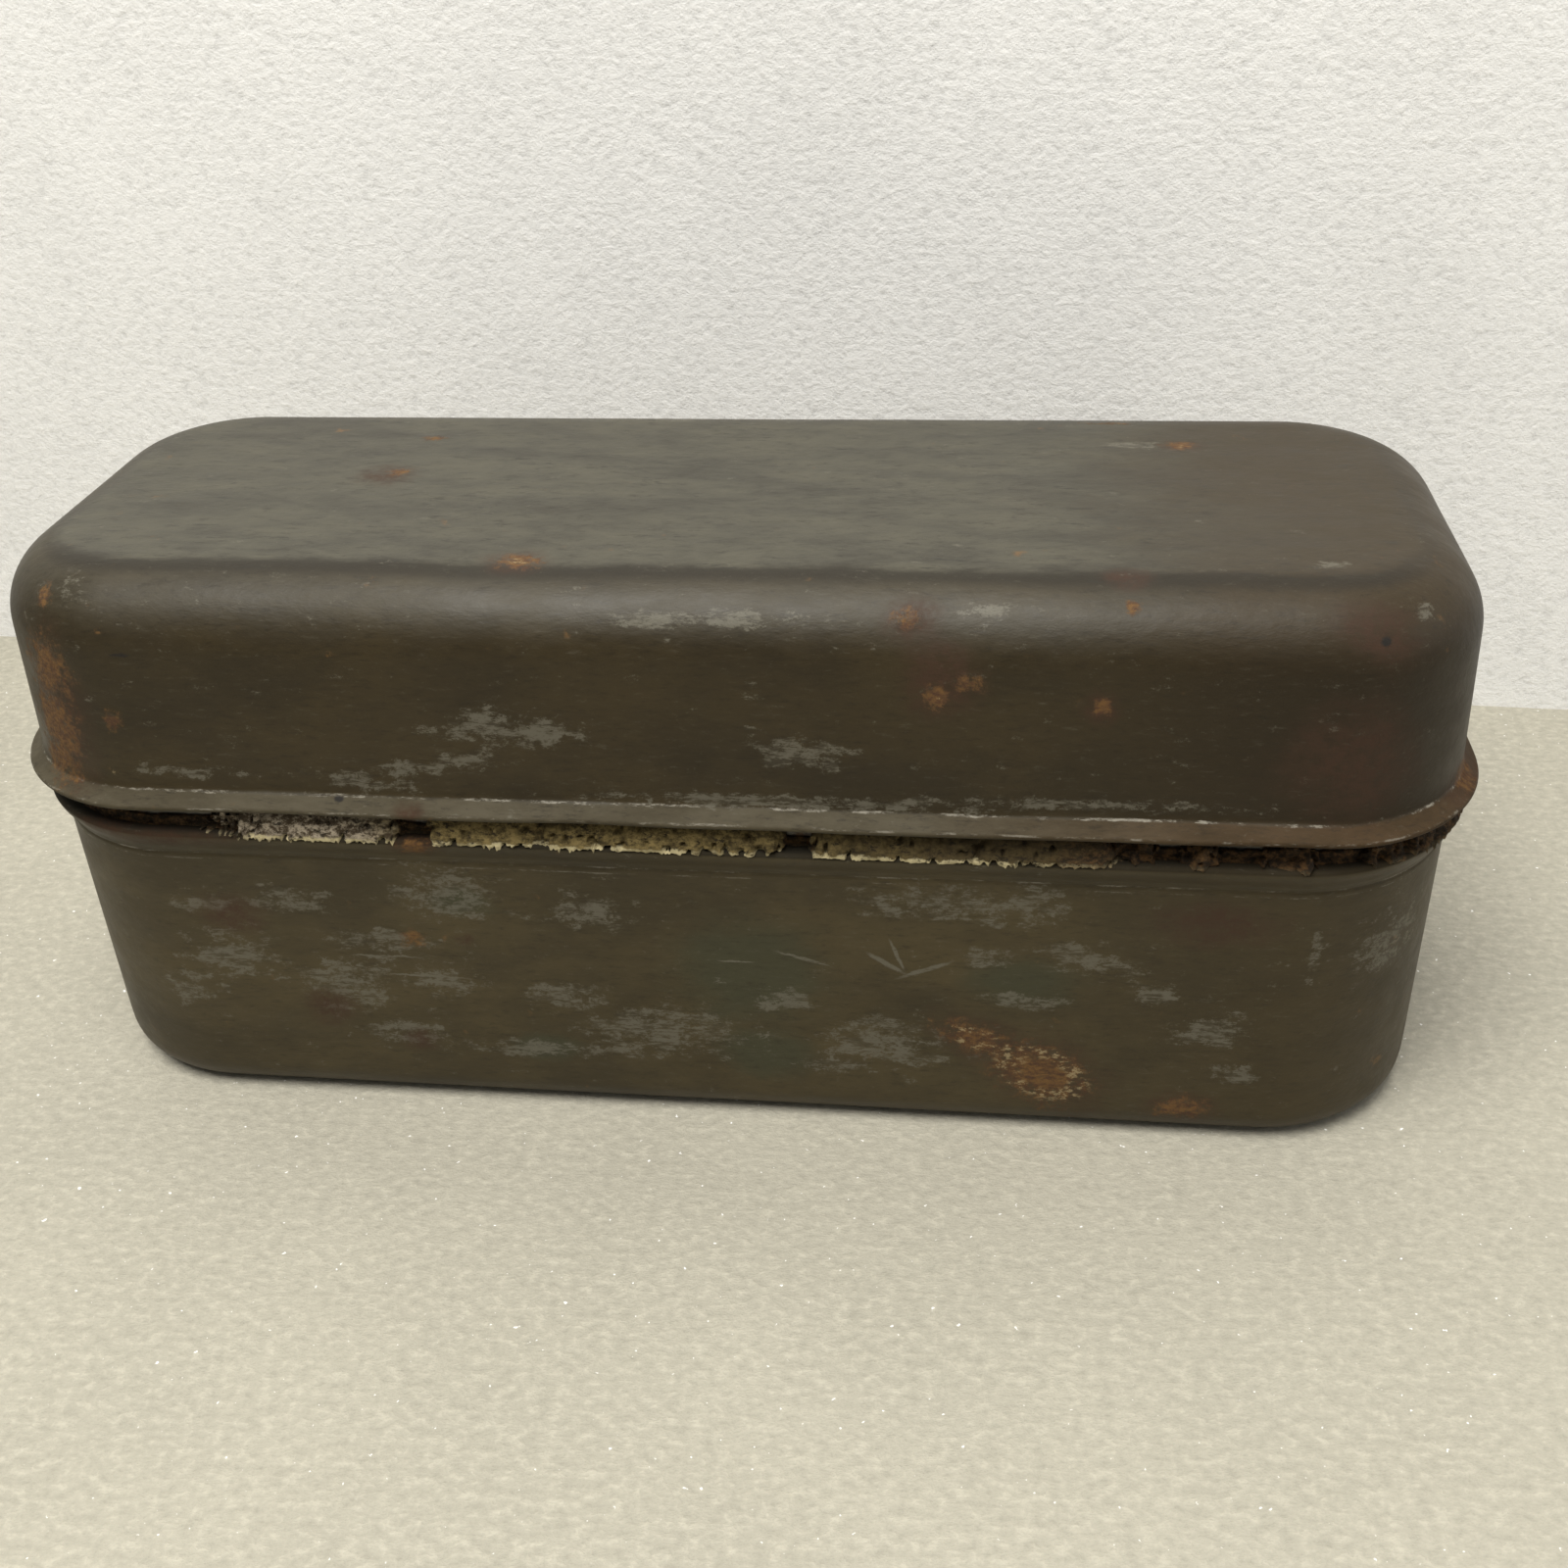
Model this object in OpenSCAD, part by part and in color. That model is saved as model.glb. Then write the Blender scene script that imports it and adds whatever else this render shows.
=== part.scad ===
// A drawn sheet-steel case with a hinged lid, a sealing strip and a bottle rack.
// The origin is the middle of the underside. X runs along the length and the
// hinges are at the back, on the +Y side. All lengths are in millimetres.

/* [Lid] */
// Length over the lid's walls, just above its flange
lid_length = 244.5; // [200:0.5:320]
// Width over the lid's walls, just above its flange
lid_width = 89.2; // [76:0.1:140]
// Height from the flange's lower edge to the flat top
lid_height = 39.4; // [30:0.1:70]
// Plan radius of the lid's corners
lid_corner_r = 27; // [20:0.5:32]
// Radius of the bend from the walls into the top
lid_edge_r = 13; // [8:0.5:16]
// Inward lean of the lid's walls, in degrees
lid_draft = 2.3; // [0:0.1:4]
// How far the lid's flange stands out from the wall
flange_out = 2.75; // [2:0.05:4]
// How far the flange's outer edge droops below its root
flange_droop = 1.6; // [0.8:0.1:2]
// Thickness of the flange's turned edge
flange_edge_t = 1.3; // [1:0.1:2]

/* [Base] */
// How far the base's walls stand inside the lid's walls
wall_step = 0.3; // [0:0.05:1]
// Height from the underside to the top of the bead
base_height = 58.4; // [45:0.1:90]
// Plan radius of the base's corners
base_corner_r = 29; // [20:0.5:32]
// Radius of the bend from the walls into the floor
base_edge_r = 6.5; // [4:0.5:12]
// How far the bead stands out from the wall
bead_out = 1.9; // [1.2:0.1:2.4]
// Height of the bead, from the wall to its top
bead_height = 4.6; // [3:0.1:6]
// Radius of the bead's rolled edge
bead_roll_r = 0.8; // [0.5:0.05:1]
// Thickness of the steel sheet
sheet_t = 0.8; // [0.6:0.05:1.2]

/* [Neck and strip] */
// Gap between the bead's top and the flange's lower edge
strip_gap = 4.8; // [3:0.1:8]
// Thickness of the neck band
neck_t = 0.8; // [0.6:0.05:1.2]
// How far the neck's upper part stands inside the base's walls
neck_inset = 1.6; // [1.4:0.05:2.4]
// How far the neck rises above the bead
neck_rise = 9.6; // [6:0.1:14]
// How far the neck reaches down inside the base below the bead
neck_reach = 5; // [3:0.5:10]
// How far the strip's face stands behind the bead's edge
strip_setback = 0.4; // [0.2:0.05:1]
// Clearance between the strip and the lid
strip_clear = 0.4; // [0.3:0.05:0.8]

/* [Hinges] */
// Distance between the two hinges' middles
hinge_spacing = 124; // [90:1:140]
// Width of a hinge along the box
hinge_width = 28; // [20:0.5:36]
// Width of the lid leaf's middle knuckle
lid_knuckle_w = 14; // [8:0.5:18]
// Gap between neighbouring knuckles
knuckle_gap = 0.3; // [0.2:0.05:0.6]
// Radius of the knuckles
knuckle_r = 1.9; // [1.7:0.05:2.2]
// Radius of the hinge pin
pin_r = 1; // [0.8:0.05:1.2]
// Radial clearance of the pin in its knuckles
pin_clear = 0.05; // [0.03:0.01:0.08]
// Radius of the pin's peened heads
pin_head_r = 1.6; // [1.4:0.05:1.8]
// Thickness of the pin's peened heads
pin_head_t = 0.6; // [0.4:0.05:1]
// Thickness of the hinge leaves
leaf_t = 0.9; // [0.7:0.05:1.2]
// Length of the leaf that lies flat on a wall
leaf_length = 16; // [12:0.5:20]
// Spacing of a leaf's two rivets
rivet_spacing = 16; // [10:0.5:20]
// Radius of a rivet's shank
rivet_r = 1.2; // [0.9:0.05:1.5]
// Radius of a rivet's heads
rivet_head_r = 2.2; // [1.8:0.05:2.8]
// Height of a rivet's domed outer head
rivet_dome_h = 0.9; // [0.6:0.05:1.2]
// Height of a rivet's flat inner head
rivet_tail_h = 0.5; // [0.3:0.05:0.8]

/* [Bottle rack] */
// Number of cross dividers
cross_dividers = 5; // [1:1:5]
// Distance between neighbouring cross dividers
cell_pitch = 40; // [30:0.5:44]
// Thickness of the dividers
divider_t = 0.8; // [0.6:0.05:1.2]
// Height of the dividers above the floor
divider_h = 57; // [40:0.5:62]
// Clearance round and under the dividers
divider_clear = 0.15; // [0.1:0.05:0.4]

/* [Hidden] */
$fn = 64;

// Gap between pieces that are soldered or riveted together
seat_gap = 0.05;
// Length by which a cutting shape runs past a face
past = 1;
// Least gap between a leaf and the flange or bead that it passes
leaf_clear = 0.3;
// Gap between a leaf's edge and the other leaf's knuckles
knuckle_relief = 0.5;

lid_ax = lid_length / 2;
lid_by = lid_width / 2;
base_ax = lid_ax - wall_step;
base_by = lid_by - wall_step;

lid_z = base_height + strip_gap;
top_z = lid_z + lid_height;
// The flange's root, where the lid's wall starts
root_z = lid_z + flange_edge_t / 2 + flange_droop;
edge_z = lid_z + flange_edge_t / 2;
lid_bend_z = top_z - lid_edge_r;
// Distance from the wall's foot in to the middle of the top bend
lid_bend_in = (lid_bend_z - root_z) * tan(lid_draft) + lid_edge_r;

bead_z = base_height - bead_height;
neck_top_z = base_height + neck_rise;
neck_foot_z = bead_z - neck_reach;
joggle_z = base_height - bead_roll_r * 2;

// The lid leaf passes just outside the flange, and the hinge line lies below it
leaf_out_y = lid_by + flange_out + leaf_clear / 2;
axis_y = leaf_out_y + knuckle_r - leaf_t / 2;
axis_z = lid_z - knuckle_r - leaf_clear;
base_leaf_low_z = bead_z - leaf_clear * 2 - leaf_length;
lid_leaf_low_z = root_z + leaf_clear * 2 + leaf_t;

// Half sizes of a plan outline, less its corner radius
function core(half, r) = half - r;

// Outer face of the lid's back wall at a height
function lid_wall_y(z) = lid_by - (z - root_z) * tan(lid_draft);

// Height of a divider's top above the underside
divider_top = sheet_t + divider_clear + divider_h;
// Clear half sizes inside the neck, for the dividers' ends
rack_ax = base_ax - neck_inset - neck_t - divider_clear;
rack_by = base_by - neck_inset - neck_t - divider_clear;

// Carries a wall's cross-section round a plan outline with rounded corners. The
// section's x is measured from the corner's middle, and its y is the height.
module around(ax, by, r) {
    cx = core(ax, r);
    cy = core(by, r);
    for (turn = [0 : 3]) {
        along = turn % 2 == 0 ? cx : cy;
        out = turn % 2 == 0 ? cy : cx;
        rotate([0, 0, 90 * turn]) {
            translate([-along, out, 0])
                rotate([90, 0, 90])
                linear_extrude(2 * along) children();
            translate([along, out, 0])
                rotate_extrude(angle = 90) children();
        }
    }
}

// A bent sheet in section: the quarter of a ring that faces outwards and up
// (up = 1) or down (up = -1)
module bend(outer_r, t, up) {
    intersection() {
        difference() {
            circle(outer_r);
            circle(outer_r - t);
        }
        translate([0, up > 0 ? 0 : -outer_r * 2]) square(outer_r * 2);
    }
}

// The base's wall in section
module base_section() {
    r = base_corner_r;
    square([r - base_edge_r, sheet_t]);
    translate([r - base_edge_r, base_edge_r]) bend(base_edge_r, sheet_t, -1);
    translate([r - sheet_t, base_edge_r]) square([sheet_t, bead_z - base_edge_r]);
    polygon([[r - sheet_t, bead_z], [r, bead_z],
        [r + bead_out, base_height - bead_roll_r * 1.4],
        [r + bead_out - bead_roll_r, base_height],
        [r - neck_inset + seat_gap, base_height],
        [r - neck_inset + seat_gap, base_height - sheet_t],
        [r + bead_out - bead_roll_r * 2, base_height - sheet_t],
        [r - sheet_t / 4, bead_z + sheet_t]]);
    translate([r + bead_out - bead_roll_r, base_height - bead_roll_r]) circle(bead_roll_r);
}

// Drawn base with its floor, rounded lower edge and turned-out bead
module base_shell() {
    color("#4a4636") difference() {
        union() {
            around(base_ax, base_by, base_corner_r) base_section();
            translate([-core(base_ax, base_corner_r), -core(base_by, base_corner_r), 0])
                cube([2 * core(base_ax, base_corner_r), 2 * core(base_by, base_corner_r), sheet_t]);
        }
        for (side = [-1, 1]) base_rivet_places(side) rivet_hole();
    }
}

// The lid's wall in section
module lid_section() {
    r = lid_corner_r;
    mid_x = r - lid_bend_in;
    edge_r = flange_edge_t / 2;
    edge_x = r + flange_out - edge_r;
    translate([0, top_z - sheet_t]) square([mid_x, sheet_t]);
    translate([mid_x, lid_bend_z]) bend(lid_edge_r, sheet_t, 1);
    polygon([[r, root_z], [mid_x + lid_edge_r, lid_bend_z],
        [mid_x + lid_edge_r - sheet_t, lid_bend_z], [r - sheet_t, root_z]]);
    polygon([[r, root_z + sheet_t], [edge_x, edge_z + edge_r], [edge_x, edge_z - edge_r],
        [r - sheet_t, root_z - edge_r], [r - sheet_t, root_z]]);
    translate([edge_x, edge_z]) circle(edge_r);
}

// Drawn lid with its flat top, rounded upper edge and turned-out flange
module lid_shell() {
    color("#4f4a3b") difference() {
        union() {
            around(lid_ax, lid_by, lid_corner_r) lid_section();
            translate([-core(lid_ax, lid_corner_r), -core(lid_by, lid_corner_r), top_z - sheet_t])
                cube([2 * core(lid_ax, lid_corner_r), 2 * core(lid_by, lid_corner_r), sheet_t]);
        }
        for (side = [-1, 1]) lid_rivet_places(side) rivet_hole();
    }
}

// Band inside the base's rim that the lid slides over
module neck_band() {
    r = base_corner_r;
    low_x = r - sheet_t - seat_gap;
    high_x = r - neck_inset;
    color("#6a6350") around(base_ax, base_by, r)
        polygon([[low_x, neck_foot_z], [low_x, joggle_z - neck_t * 2], [high_x, joggle_z - neck_t],
            [high_x, neck_top_z], [high_x - neck_t, neck_top_z], [high_x - neck_t, joggle_z - neck_t],
            [low_x - neck_t, joggle_z - neck_t * 2], [low_x - neck_t, neck_foot_z]]);
}

// Strip that lies on the bead round the neck and fills the gap under the flange
module sealing_strip() {
    r = base_corner_r;
    inner_x = r - neck_inset + seat_gap;
    outer_x = r + bead_out - strip_setback;
    low_z = base_height + seat_gap;
    high_z = lid_z - strip_clear;
    color("#b9ab6c") around(base_ax, base_by, r)
        translate([inner_x, low_z]) square([outer_x - inner_x, high_z - low_z]);
}

// Hole through a leaf and a wall for one rivet, along Y
module rivet_hole() {
    rotate([90, 0, 0]) cylinder(r = rivet_r + seat_gap, h = 4 * (sheet_t + leaf_t), center = true);
}

// Places of the two rivets that hold a base leaf, at the wall's outer face
module base_rivet_places(side) {
    for (end = [-1, 1])
        translate([side * hinge_spacing / 2 + end * rivet_spacing / 2, base_by,
            base_leaf_low_z + leaf_length / 2]) children();
}

// Places of the two rivets that hold a lid leaf, at the wall's outer face
module lid_rivet_places(side) {
    z = lid_leaf_low_z + leaf_length / 2;
    for (end = [-1, 1])
        translate([side * hinge_spacing / 2 + end * rivet_spacing / 2, lid_wall_y(z), z])
            rotate([lid_draft, 0, 0]) children();
}

// One rivet along Y, with its domed head outside and its flat head inside
module rivet() {
    seat = leaf_t + seat_gap * 2;
    dome_r = (rivet_head_r * rivet_head_r + rivet_dome_h * rivet_dome_h) / (2 * rivet_dome_h);
    back = sheet_t + seat_gap;
    rotate([-90, 0, 0]) {
        translate([0, 0, -back]) cylinder(r = rivet_r, h = back + seat);
        translate([0, 0, -back - rivet_tail_h]) cylinder(r = rivet_head_r, h = rivet_tail_h);
        translate([0, 0, seat]) intersection() {
            translate([0, 0, rivet_dome_h - dome_r]) sphere(dome_r);
            cylinder(r = rivet_head_r + past, h = rivet_dome_h + past);
        }
    }
}

// A slab of the hinge's width, or of part of it, from a section in Y and Z
module across(width) {
    translate([-width / 2, 0, 0]) rotate([90, 0, 90]) linear_extrude(width) children();
}

// The base leaf in section, from its foot on the wall to the hinge line
module base_leaf_section(top_z) {
    in_y = base_by + seat_gap;
    out_y = axis_y - knuckle_r;
    low_z = base_leaf_low_z;
    bend_z = low_z + leaf_length;
    step_z = base_height - bead_roll_r * 2;
    polygon([[in_y, low_z], [in_y, bend_z], [out_y, step_z], [out_y, top_z],
        [out_y + leaf_t, top_z], [out_y + leaf_t, step_z - leaf_t / 2],
        [in_y + leaf_t, bend_z - leaf_t / 2], [in_y + leaf_t, low_z]]);
}

// The lid leaf in section, from its head on the wall to the hinge line
module lid_leaf_section(low_z) {
    foot_z = lid_leaf_low_z;
    head_z = foot_z + leaf_length;
    out_y = leaf_out_y;
    skin = seat_gap / cos(lid_draft);
    full = (seat_gap + leaf_t) / cos(lid_draft);
    step_z = edge_z + flange_edge_t / 2 + leaf_clear;
    polygon([[lid_wall_y(head_z) + skin, head_z], [lid_wall_y(foot_z) + skin, foot_z],
        [out_y, step_z], [out_y, low_z], [out_y + leaf_t, low_z], [out_y + leaf_t, step_z + leaf_t / 2],
        [lid_wall_y(foot_z) + full, foot_z + leaf_t / 2], [lid_wall_y(head_z) + full, head_z]]);
}

// Fixed half of a hinge, with a knuckle at each end
module hinge_base_leaf(side) {
    end_w = (hinge_width - lid_knuckle_w) / 2 - knuckle_gap;
    end_x = (hinge_width - end_w) / 2;
    color("#454131") translate([side * hinge_spacing / 2, 0, 0]) difference() {
        union() {
            across(hinge_width) base_leaf_section(axis_z - knuckle_r - knuckle_relief);
            for (end = [-1, 1]) translate([end * end_x, 0, 0]) across(end_w) {
                base_leaf_section(axis_z);
                translate([axis_y, axis_z]) circle(knuckle_r);
            }
        }
        across(hinge_width + past) translate([axis_y, axis_z]) circle(pin_r + pin_clear);
        translate([-side * hinge_spacing / 2, 0, 0]) base_rivet_places(side) rivet_hole();
    }
}

// Moving half of a hinge, with one knuckle in its middle
module hinge_lid_leaf(side) {
    color("#4a4535") translate([side * hinge_spacing / 2, 0, 0]) difference() {
        union() {
            across(hinge_width) lid_leaf_section(axis_z + knuckle_r + knuckle_relief);
            across(lid_knuckle_w) {
                lid_leaf_section(axis_z);
                translate([axis_y, axis_z]) circle(knuckle_r);
            }
        }
        across(hinge_width + past) translate([axis_y, axis_z]) circle(pin_r + pin_clear);
        translate([-side * hinge_spacing / 2, 0, 0]) lid_rivet_places(side) rivet_hole();
    }
}

// Hinge pin with a peened head at each end
module hinge_pin(side) {
    half = hinge_width / 2 + seat_gap * 2;
    color("#7b766b") translate([side * hinge_spacing / 2, axis_y, axis_z]) rotate([0, 90, 0]) {
        cylinder(r = pin_r, h = 2 * half, center = true);
        for (end = [0, 1]) mirror([0, 0, end])
            translate([0, 0, half]) cylinder(r1 = pin_head_r, r2 = pin_r, h = pin_head_t);
    }
}

module base_rivets(side) {
    color("#55503f") base_rivet_places(side) rivet();
}

module lid_rivets(side) {
    color("#55503f") lid_rivet_places(side) rivet();
}

// Outline of a divider, with its lower corners rounded to clear the floor's bend
module divider_outline(half) {
    low = sheet_t + divider_clear;
    r = base_edge_r;
    translate([-half, low + r]) square([2 * half, divider_h - r]);
    translate([r - half, low]) square([2 * (half - r), r]);
    for (end = [-1, 1]) translate([end * (half - r), low + r]) circle(r);
}

// Place of a cross divider along the box, counted from the left
function divider_x(i) = (i - (cross_dividers + 1) / 2) * cell_pitch;

slot_w = divider_t + 2 * seat_gap;
slot_z = divider_top - divider_h / 2;

// Lengthwise divider, slotted from above
module long_divider() {
    color("#8a8678") difference() {
        translate([0, divider_t / 2, 0]) rotate([90, 0, 0])
            linear_extrude(divider_t) divider_outline(rack_ax);
        for (i = [1 : cross_dividers])
            translate([divider_x(i) - slot_w / 2, -divider_t, slot_z - seat_gap])
                cube([slot_w, 2 * divider_t, divider_h]);
    }
}

// Crosswise divider, slotted from below
module cross_divider(i) {
    color("#837f70") if (i <= cross_dividers) translate([divider_x(i), 0, 0]) difference() {
        translate([-divider_t / 2, 0, 0]) rotate([90, 0, 90])
            linear_extrude(divider_t) divider_outline(rack_by);
        translate([-divider_t, -slot_w / 2, slot_z + seat_gap - divider_h])
            cube([2 * divider_t, slot_w, divider_h]);
    }
}

base_shell();
neck_band();
sealing_strip();
lid_shell();
hinge_base_leaf(-1);  // hinge_base_leaf_left
hinge_base_leaf(1);  // hinge_base_leaf_right
hinge_lid_leaf(-1);  // hinge_lid_leaf_left
hinge_lid_leaf(1);  // hinge_lid_leaf_right
hinge_pin(-1);  // hinge_pin_left
hinge_pin(1);  // hinge_pin_right
base_rivets(-1);  // base_rivets_left
base_rivets(1);  // base_rivets_right
lid_rivets(-1);  // lid_rivets_left
lid_rivets(1);  // lid_rivets_right
long_divider();
cross_divider(1);  // cross_divider_1
cross_divider(2);  // cross_divider_2
cross_divider(3);  // cross_divider_3
cross_divider(4);  // cross_divider_4
cross_divider(5);  // cross_divider_5
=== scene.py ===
"""Drawn steel bottle case with a hinged lid: its looks, built round the packed frame."""

import math

import bpy
import numpy as np
from bpy.props import FloatProperty, FloatVectorProperty, PointerProperty
from mathutils import Matrix, Vector, noise


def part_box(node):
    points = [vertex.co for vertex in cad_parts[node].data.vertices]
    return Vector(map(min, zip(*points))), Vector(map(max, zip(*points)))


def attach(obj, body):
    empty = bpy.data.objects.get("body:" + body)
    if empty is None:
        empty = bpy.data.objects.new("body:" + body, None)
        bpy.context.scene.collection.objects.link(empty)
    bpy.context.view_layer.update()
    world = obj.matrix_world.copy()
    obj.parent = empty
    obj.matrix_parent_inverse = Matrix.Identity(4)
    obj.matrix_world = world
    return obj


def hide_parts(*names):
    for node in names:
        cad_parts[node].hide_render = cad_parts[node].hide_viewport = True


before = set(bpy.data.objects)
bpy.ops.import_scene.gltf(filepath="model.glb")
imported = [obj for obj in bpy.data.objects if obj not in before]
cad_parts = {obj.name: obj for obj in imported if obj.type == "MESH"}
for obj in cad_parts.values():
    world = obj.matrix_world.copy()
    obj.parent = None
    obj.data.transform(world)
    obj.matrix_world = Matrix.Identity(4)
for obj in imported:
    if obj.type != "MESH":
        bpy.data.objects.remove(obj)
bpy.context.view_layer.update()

bl_info = {
    "name": "Hinged bottle case",
    "version": (1, 0, 0),
    "blender": (4, 5, 0),
    "location": "View3D > Sidebar > Case",
    "description": "Dresses a drawn steel case in worn paint, rust and a perished strip",
    "category": "Object",
}

MM = 0.001
SEAM = 0.01 * MM  # points nearer than this are one point
NECK_IN = 1.55 * MM  # how far the base's rim and the strip reach in to the neck
SWEEP = (48, 10, 18)  # steps of a sheet along the case, across it and round a corner
# Inner paint: the lowest and highest place of its faces, and the height of the shell's heart
LID_INSIDE = (66 * MM, 1, 60 * MM)
BASE_INSIDE = (-1, 57.6 * MM, 35 * MM)
LID_LOW, LID_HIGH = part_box("lid_shell")
BASE_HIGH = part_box("base_shell")[1]
STRIP_LOW, STRIP_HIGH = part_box("sealing_strip")


# Sizes and colours that a user would change


class CASE_PG_lid(bpy.types.PropertyGroup):
    """Sizes of the drawn lid"""

    flange_out: FloatProperty(
        name="Flange reach", description="How far the flange stands out from the wall's foot",
        default=2.75 * MM, min=1 * MM, max=5 * MM, unit="LENGTH")
    flange_edge_radius: FloatProperty(
        name="Flange edge radius", description="Radius of the flange's turned edge",
        default=0.65 * MM, min=0.3 * MM, max=1 * MM, unit="LENGTH")
    flange_fall: FloatProperty(
        name="Flange fall", description="How far the flange drops from its root to its edge",
        default=1.6 * MM, min=0, max=3 * MM, unit="LENGTH")
    corner_radius: FloatProperty(
        name="Corner radius", description="Plan radius of the corners at the wall's foot",
        default=27 * MM, min=20 * MM, max=34 * MM, unit="LENGTH")
    edge_radius: FloatProperty(
        name="Top edge radius", description="Outer radius of the bend between wall and top",
        default=13 * MM, min=8 * MM, max=18 * MM, unit="LENGTH")
    draft: FloatProperty(
        name="Draft", description="Inward lean of the wall",
        default=math.radians(2.3), min=0, max=math.radians(5), unit="ROTATION")
    sheet: FloatProperty(
        name="Sheet", description="Thickness of the drawn steel",
        default=0.8 * MM, min=0.5 * MM, max=1.5 * MM, unit="LENGTH")


class CASE_PG_base(bpy.types.PropertyGroup):
    """Sizes of the drawn base"""

    corner_radius: FloatProperty(
        name="Corner radius", description="Plan radius of the corners",
        default=29 * MM, min=20 * MM, max=34 * MM, unit="LENGTH")
    edge_radius: FloatProperty(
        name="Bottom edge radius", description="Outer radius of the bend between wall and floor",
        default=6.5 * MM, min=3 * MM, max=12 * MM, unit="LENGTH")
    bead_out: FloatProperty(
        name="Bead reach", description="How far the bead stands out from the wall",
        default=1.9 * MM, min=1 * MM, max=3 * MM, unit="LENGTH")
    bead_height: FloatProperty(
        name="Bead height", description="Height of the turned-out bead",
        default=4.6 * MM, min=3 * MM, max=7 * MM, unit="LENGTH")
    bead_radius: FloatProperty(
        name="Bead edge radius", description="Radius of the bead's rolled edge",
        default=0.8 * MM, min=0.4 * MM, max=1.2 * MM, unit="LENGTH")
    groove: FloatProperty(
        name="Groove depth", description="Depth of the fine drawn line below the bead",
        default=0.22 * MM, min=0, max=0.5 * MM, unit="LENGTH")
    sheet: FloatProperty(
        name="Sheet", description="Thickness of the drawn steel",
        default=0.8 * MM, min=0.5 * MM, max=1.5 * MM, unit="LENGTH")


class CASE_PG_strip(bpy.types.PropertyGroup):
    """Sizes of the perished strip"""

    step: FloatProperty(
        name="Tooth pitch", description="Spacing of the points along the strip's broken edge",
        default=0.3 * MM, min=0.2 * MM, max=2 * MM, unit="LENGTH")
    overhang: FloatProperty(
        name="Overhang", description="How far the broken edge laps over the bead",
        default=0.45 * MM, min=0, max=1 * MM, unit="LENGTH")
    tooth: FloatProperty(
        name="Tooth length", description="Greatest length of a hanging tooth",
        default=0.8 * MM, min=0, max=3 * MM, unit="LENGTH")


class CASE_PG_colours(bpy.types.PropertyGroup):
    """Colours of the finishes"""

    lid_paint: FloatVectorProperty(
        name="Lid paint", description="Oiled, darkened paint on the lid's walls",
        default=(0.029, 0.0200, 0.0070), subtype="COLOR", min=0, max=1)
    faded_paint: FloatVectorProperty(
        name="Faded paint", description="Dusty, faded paint on faces that look up",
        default=(0.066, 0.061, 0.044), subtype="COLOR", min=0, max=1)
    base_paint: FloatVectorProperty(
        name="Base paint", description="Scuffed paint on the base",
        default=(0.050, 0.0375, 0.0155), subtype="COLOR", min=0, max=1)
    green_paint: FloatVectorProperty(
        name="Green paint", description="Paint that kept its green",
        default=(0.040, 0.041, 0.021), subtype="COLOR", min=0, max=1)
    inner_paint: FloatVectorProperty(
        name="Inner paint", description="Paint inside the case, which saw little light",
        default=(0.115, 0.112, 0.070), subtype="COLOR", min=0, max=1)
    scuff: FloatVectorProperty(
        name="Scuff", description="Chalky rub marks",
        default=(0.126, 0.117, 0.090), subtype="COLOR", min=0, max=1)
    rust: FloatVectorProperty(
        name="Rust", description="Live orange rust",
        default=(0.155, 0.080, 0.025), subtype="COLOR", min=0, max=1)
    old_rust: FloatVectorProperty(
        name="Old rust", description="Dark rust that has stained the paint",
        default=(0.045, 0.021, 0.011), subtype="COLOR", min=0, max=1)
    flake: FloatVectorProperty(
        name="Flake", description="Cream flakes left round a rust blister",
        default=(0.30, 0.235, 0.13), subtype="COLOR", min=0, max=1)
    steel: FloatVectorProperty(
        name="Steel", description="Bare tinned steel",
        default=(0.42, 0.40, 0.36), subtype="COLOR", min=0, max=1)
    strip: FloatVectorProperty(
        name="Strip", description="Dried strip where it is still clean",
        default=(0.60, 0.52, 0.31), subtype="COLOR", min=0, max=1)


class CASE_PG_stage(bpy.types.PropertyGroup):
    """Camera, lights and floor"""

    lens: FloatProperty(
        name="Lens", description="Focal length on a 36 mm sensor",
        default=39.117, min=10, max=200, unit="CAMERA")
    camera_at: FloatVectorProperty(
        name="Camera place", description="Where the camera stands",
        default=(0.045636, -0.270316, 0.212041), subtype="TRANSLATION")
    floor: FloatVectorProperty(
        name="Floor", description="Colour of the foam floor",
        default=(0.46, 0.44, 0.37), subtype="COLOR", min=0, max=1)
    backdrop: FloatVectorProperty(
        name="Backdrop", description="Colour of the sheet behind",
        default=(0.95, 0.955, 0.96), subtype="COLOR", min=0, max=1)
    key_power: FloatProperty(
        name="Key light", description="Power of the soft light overhead",
        default=12.0, min=0, max=100)
    fill_power: FloatProperty(
        name="Fill light", description="Power of the soft light on the right",
        default=1.6, min=0, max=100)
    ambient: FloatProperty(
        name="Ambient", description="Strength of the even light all round",
        default=0.22, min=0, max=2)


SETTINGS = {
    "case_lid": CASE_PG_lid,
    "case_base": CASE_PG_base,
    "case_strip": CASE_PG_strip,
    "case_colours": CASE_PG_colours,
    "case_stage": CASE_PG_stage,
}


# Bench tools for shaping sheet metal


def put_down():
    """Leaves edit mode with nothing selected"""
    if bpy.context.object and bpy.context.object.mode != "OBJECT":
        bpy.ops.object.mode_set(mode="OBJECT")
    bpy.ops.object.select_all(action="DESELECT")


def pick_up(piece):
    """Makes one piece the only one worked on"""
    put_down()
    piece.select_set(True)
    bpy.context.view_layer.objects.active = piece


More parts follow.
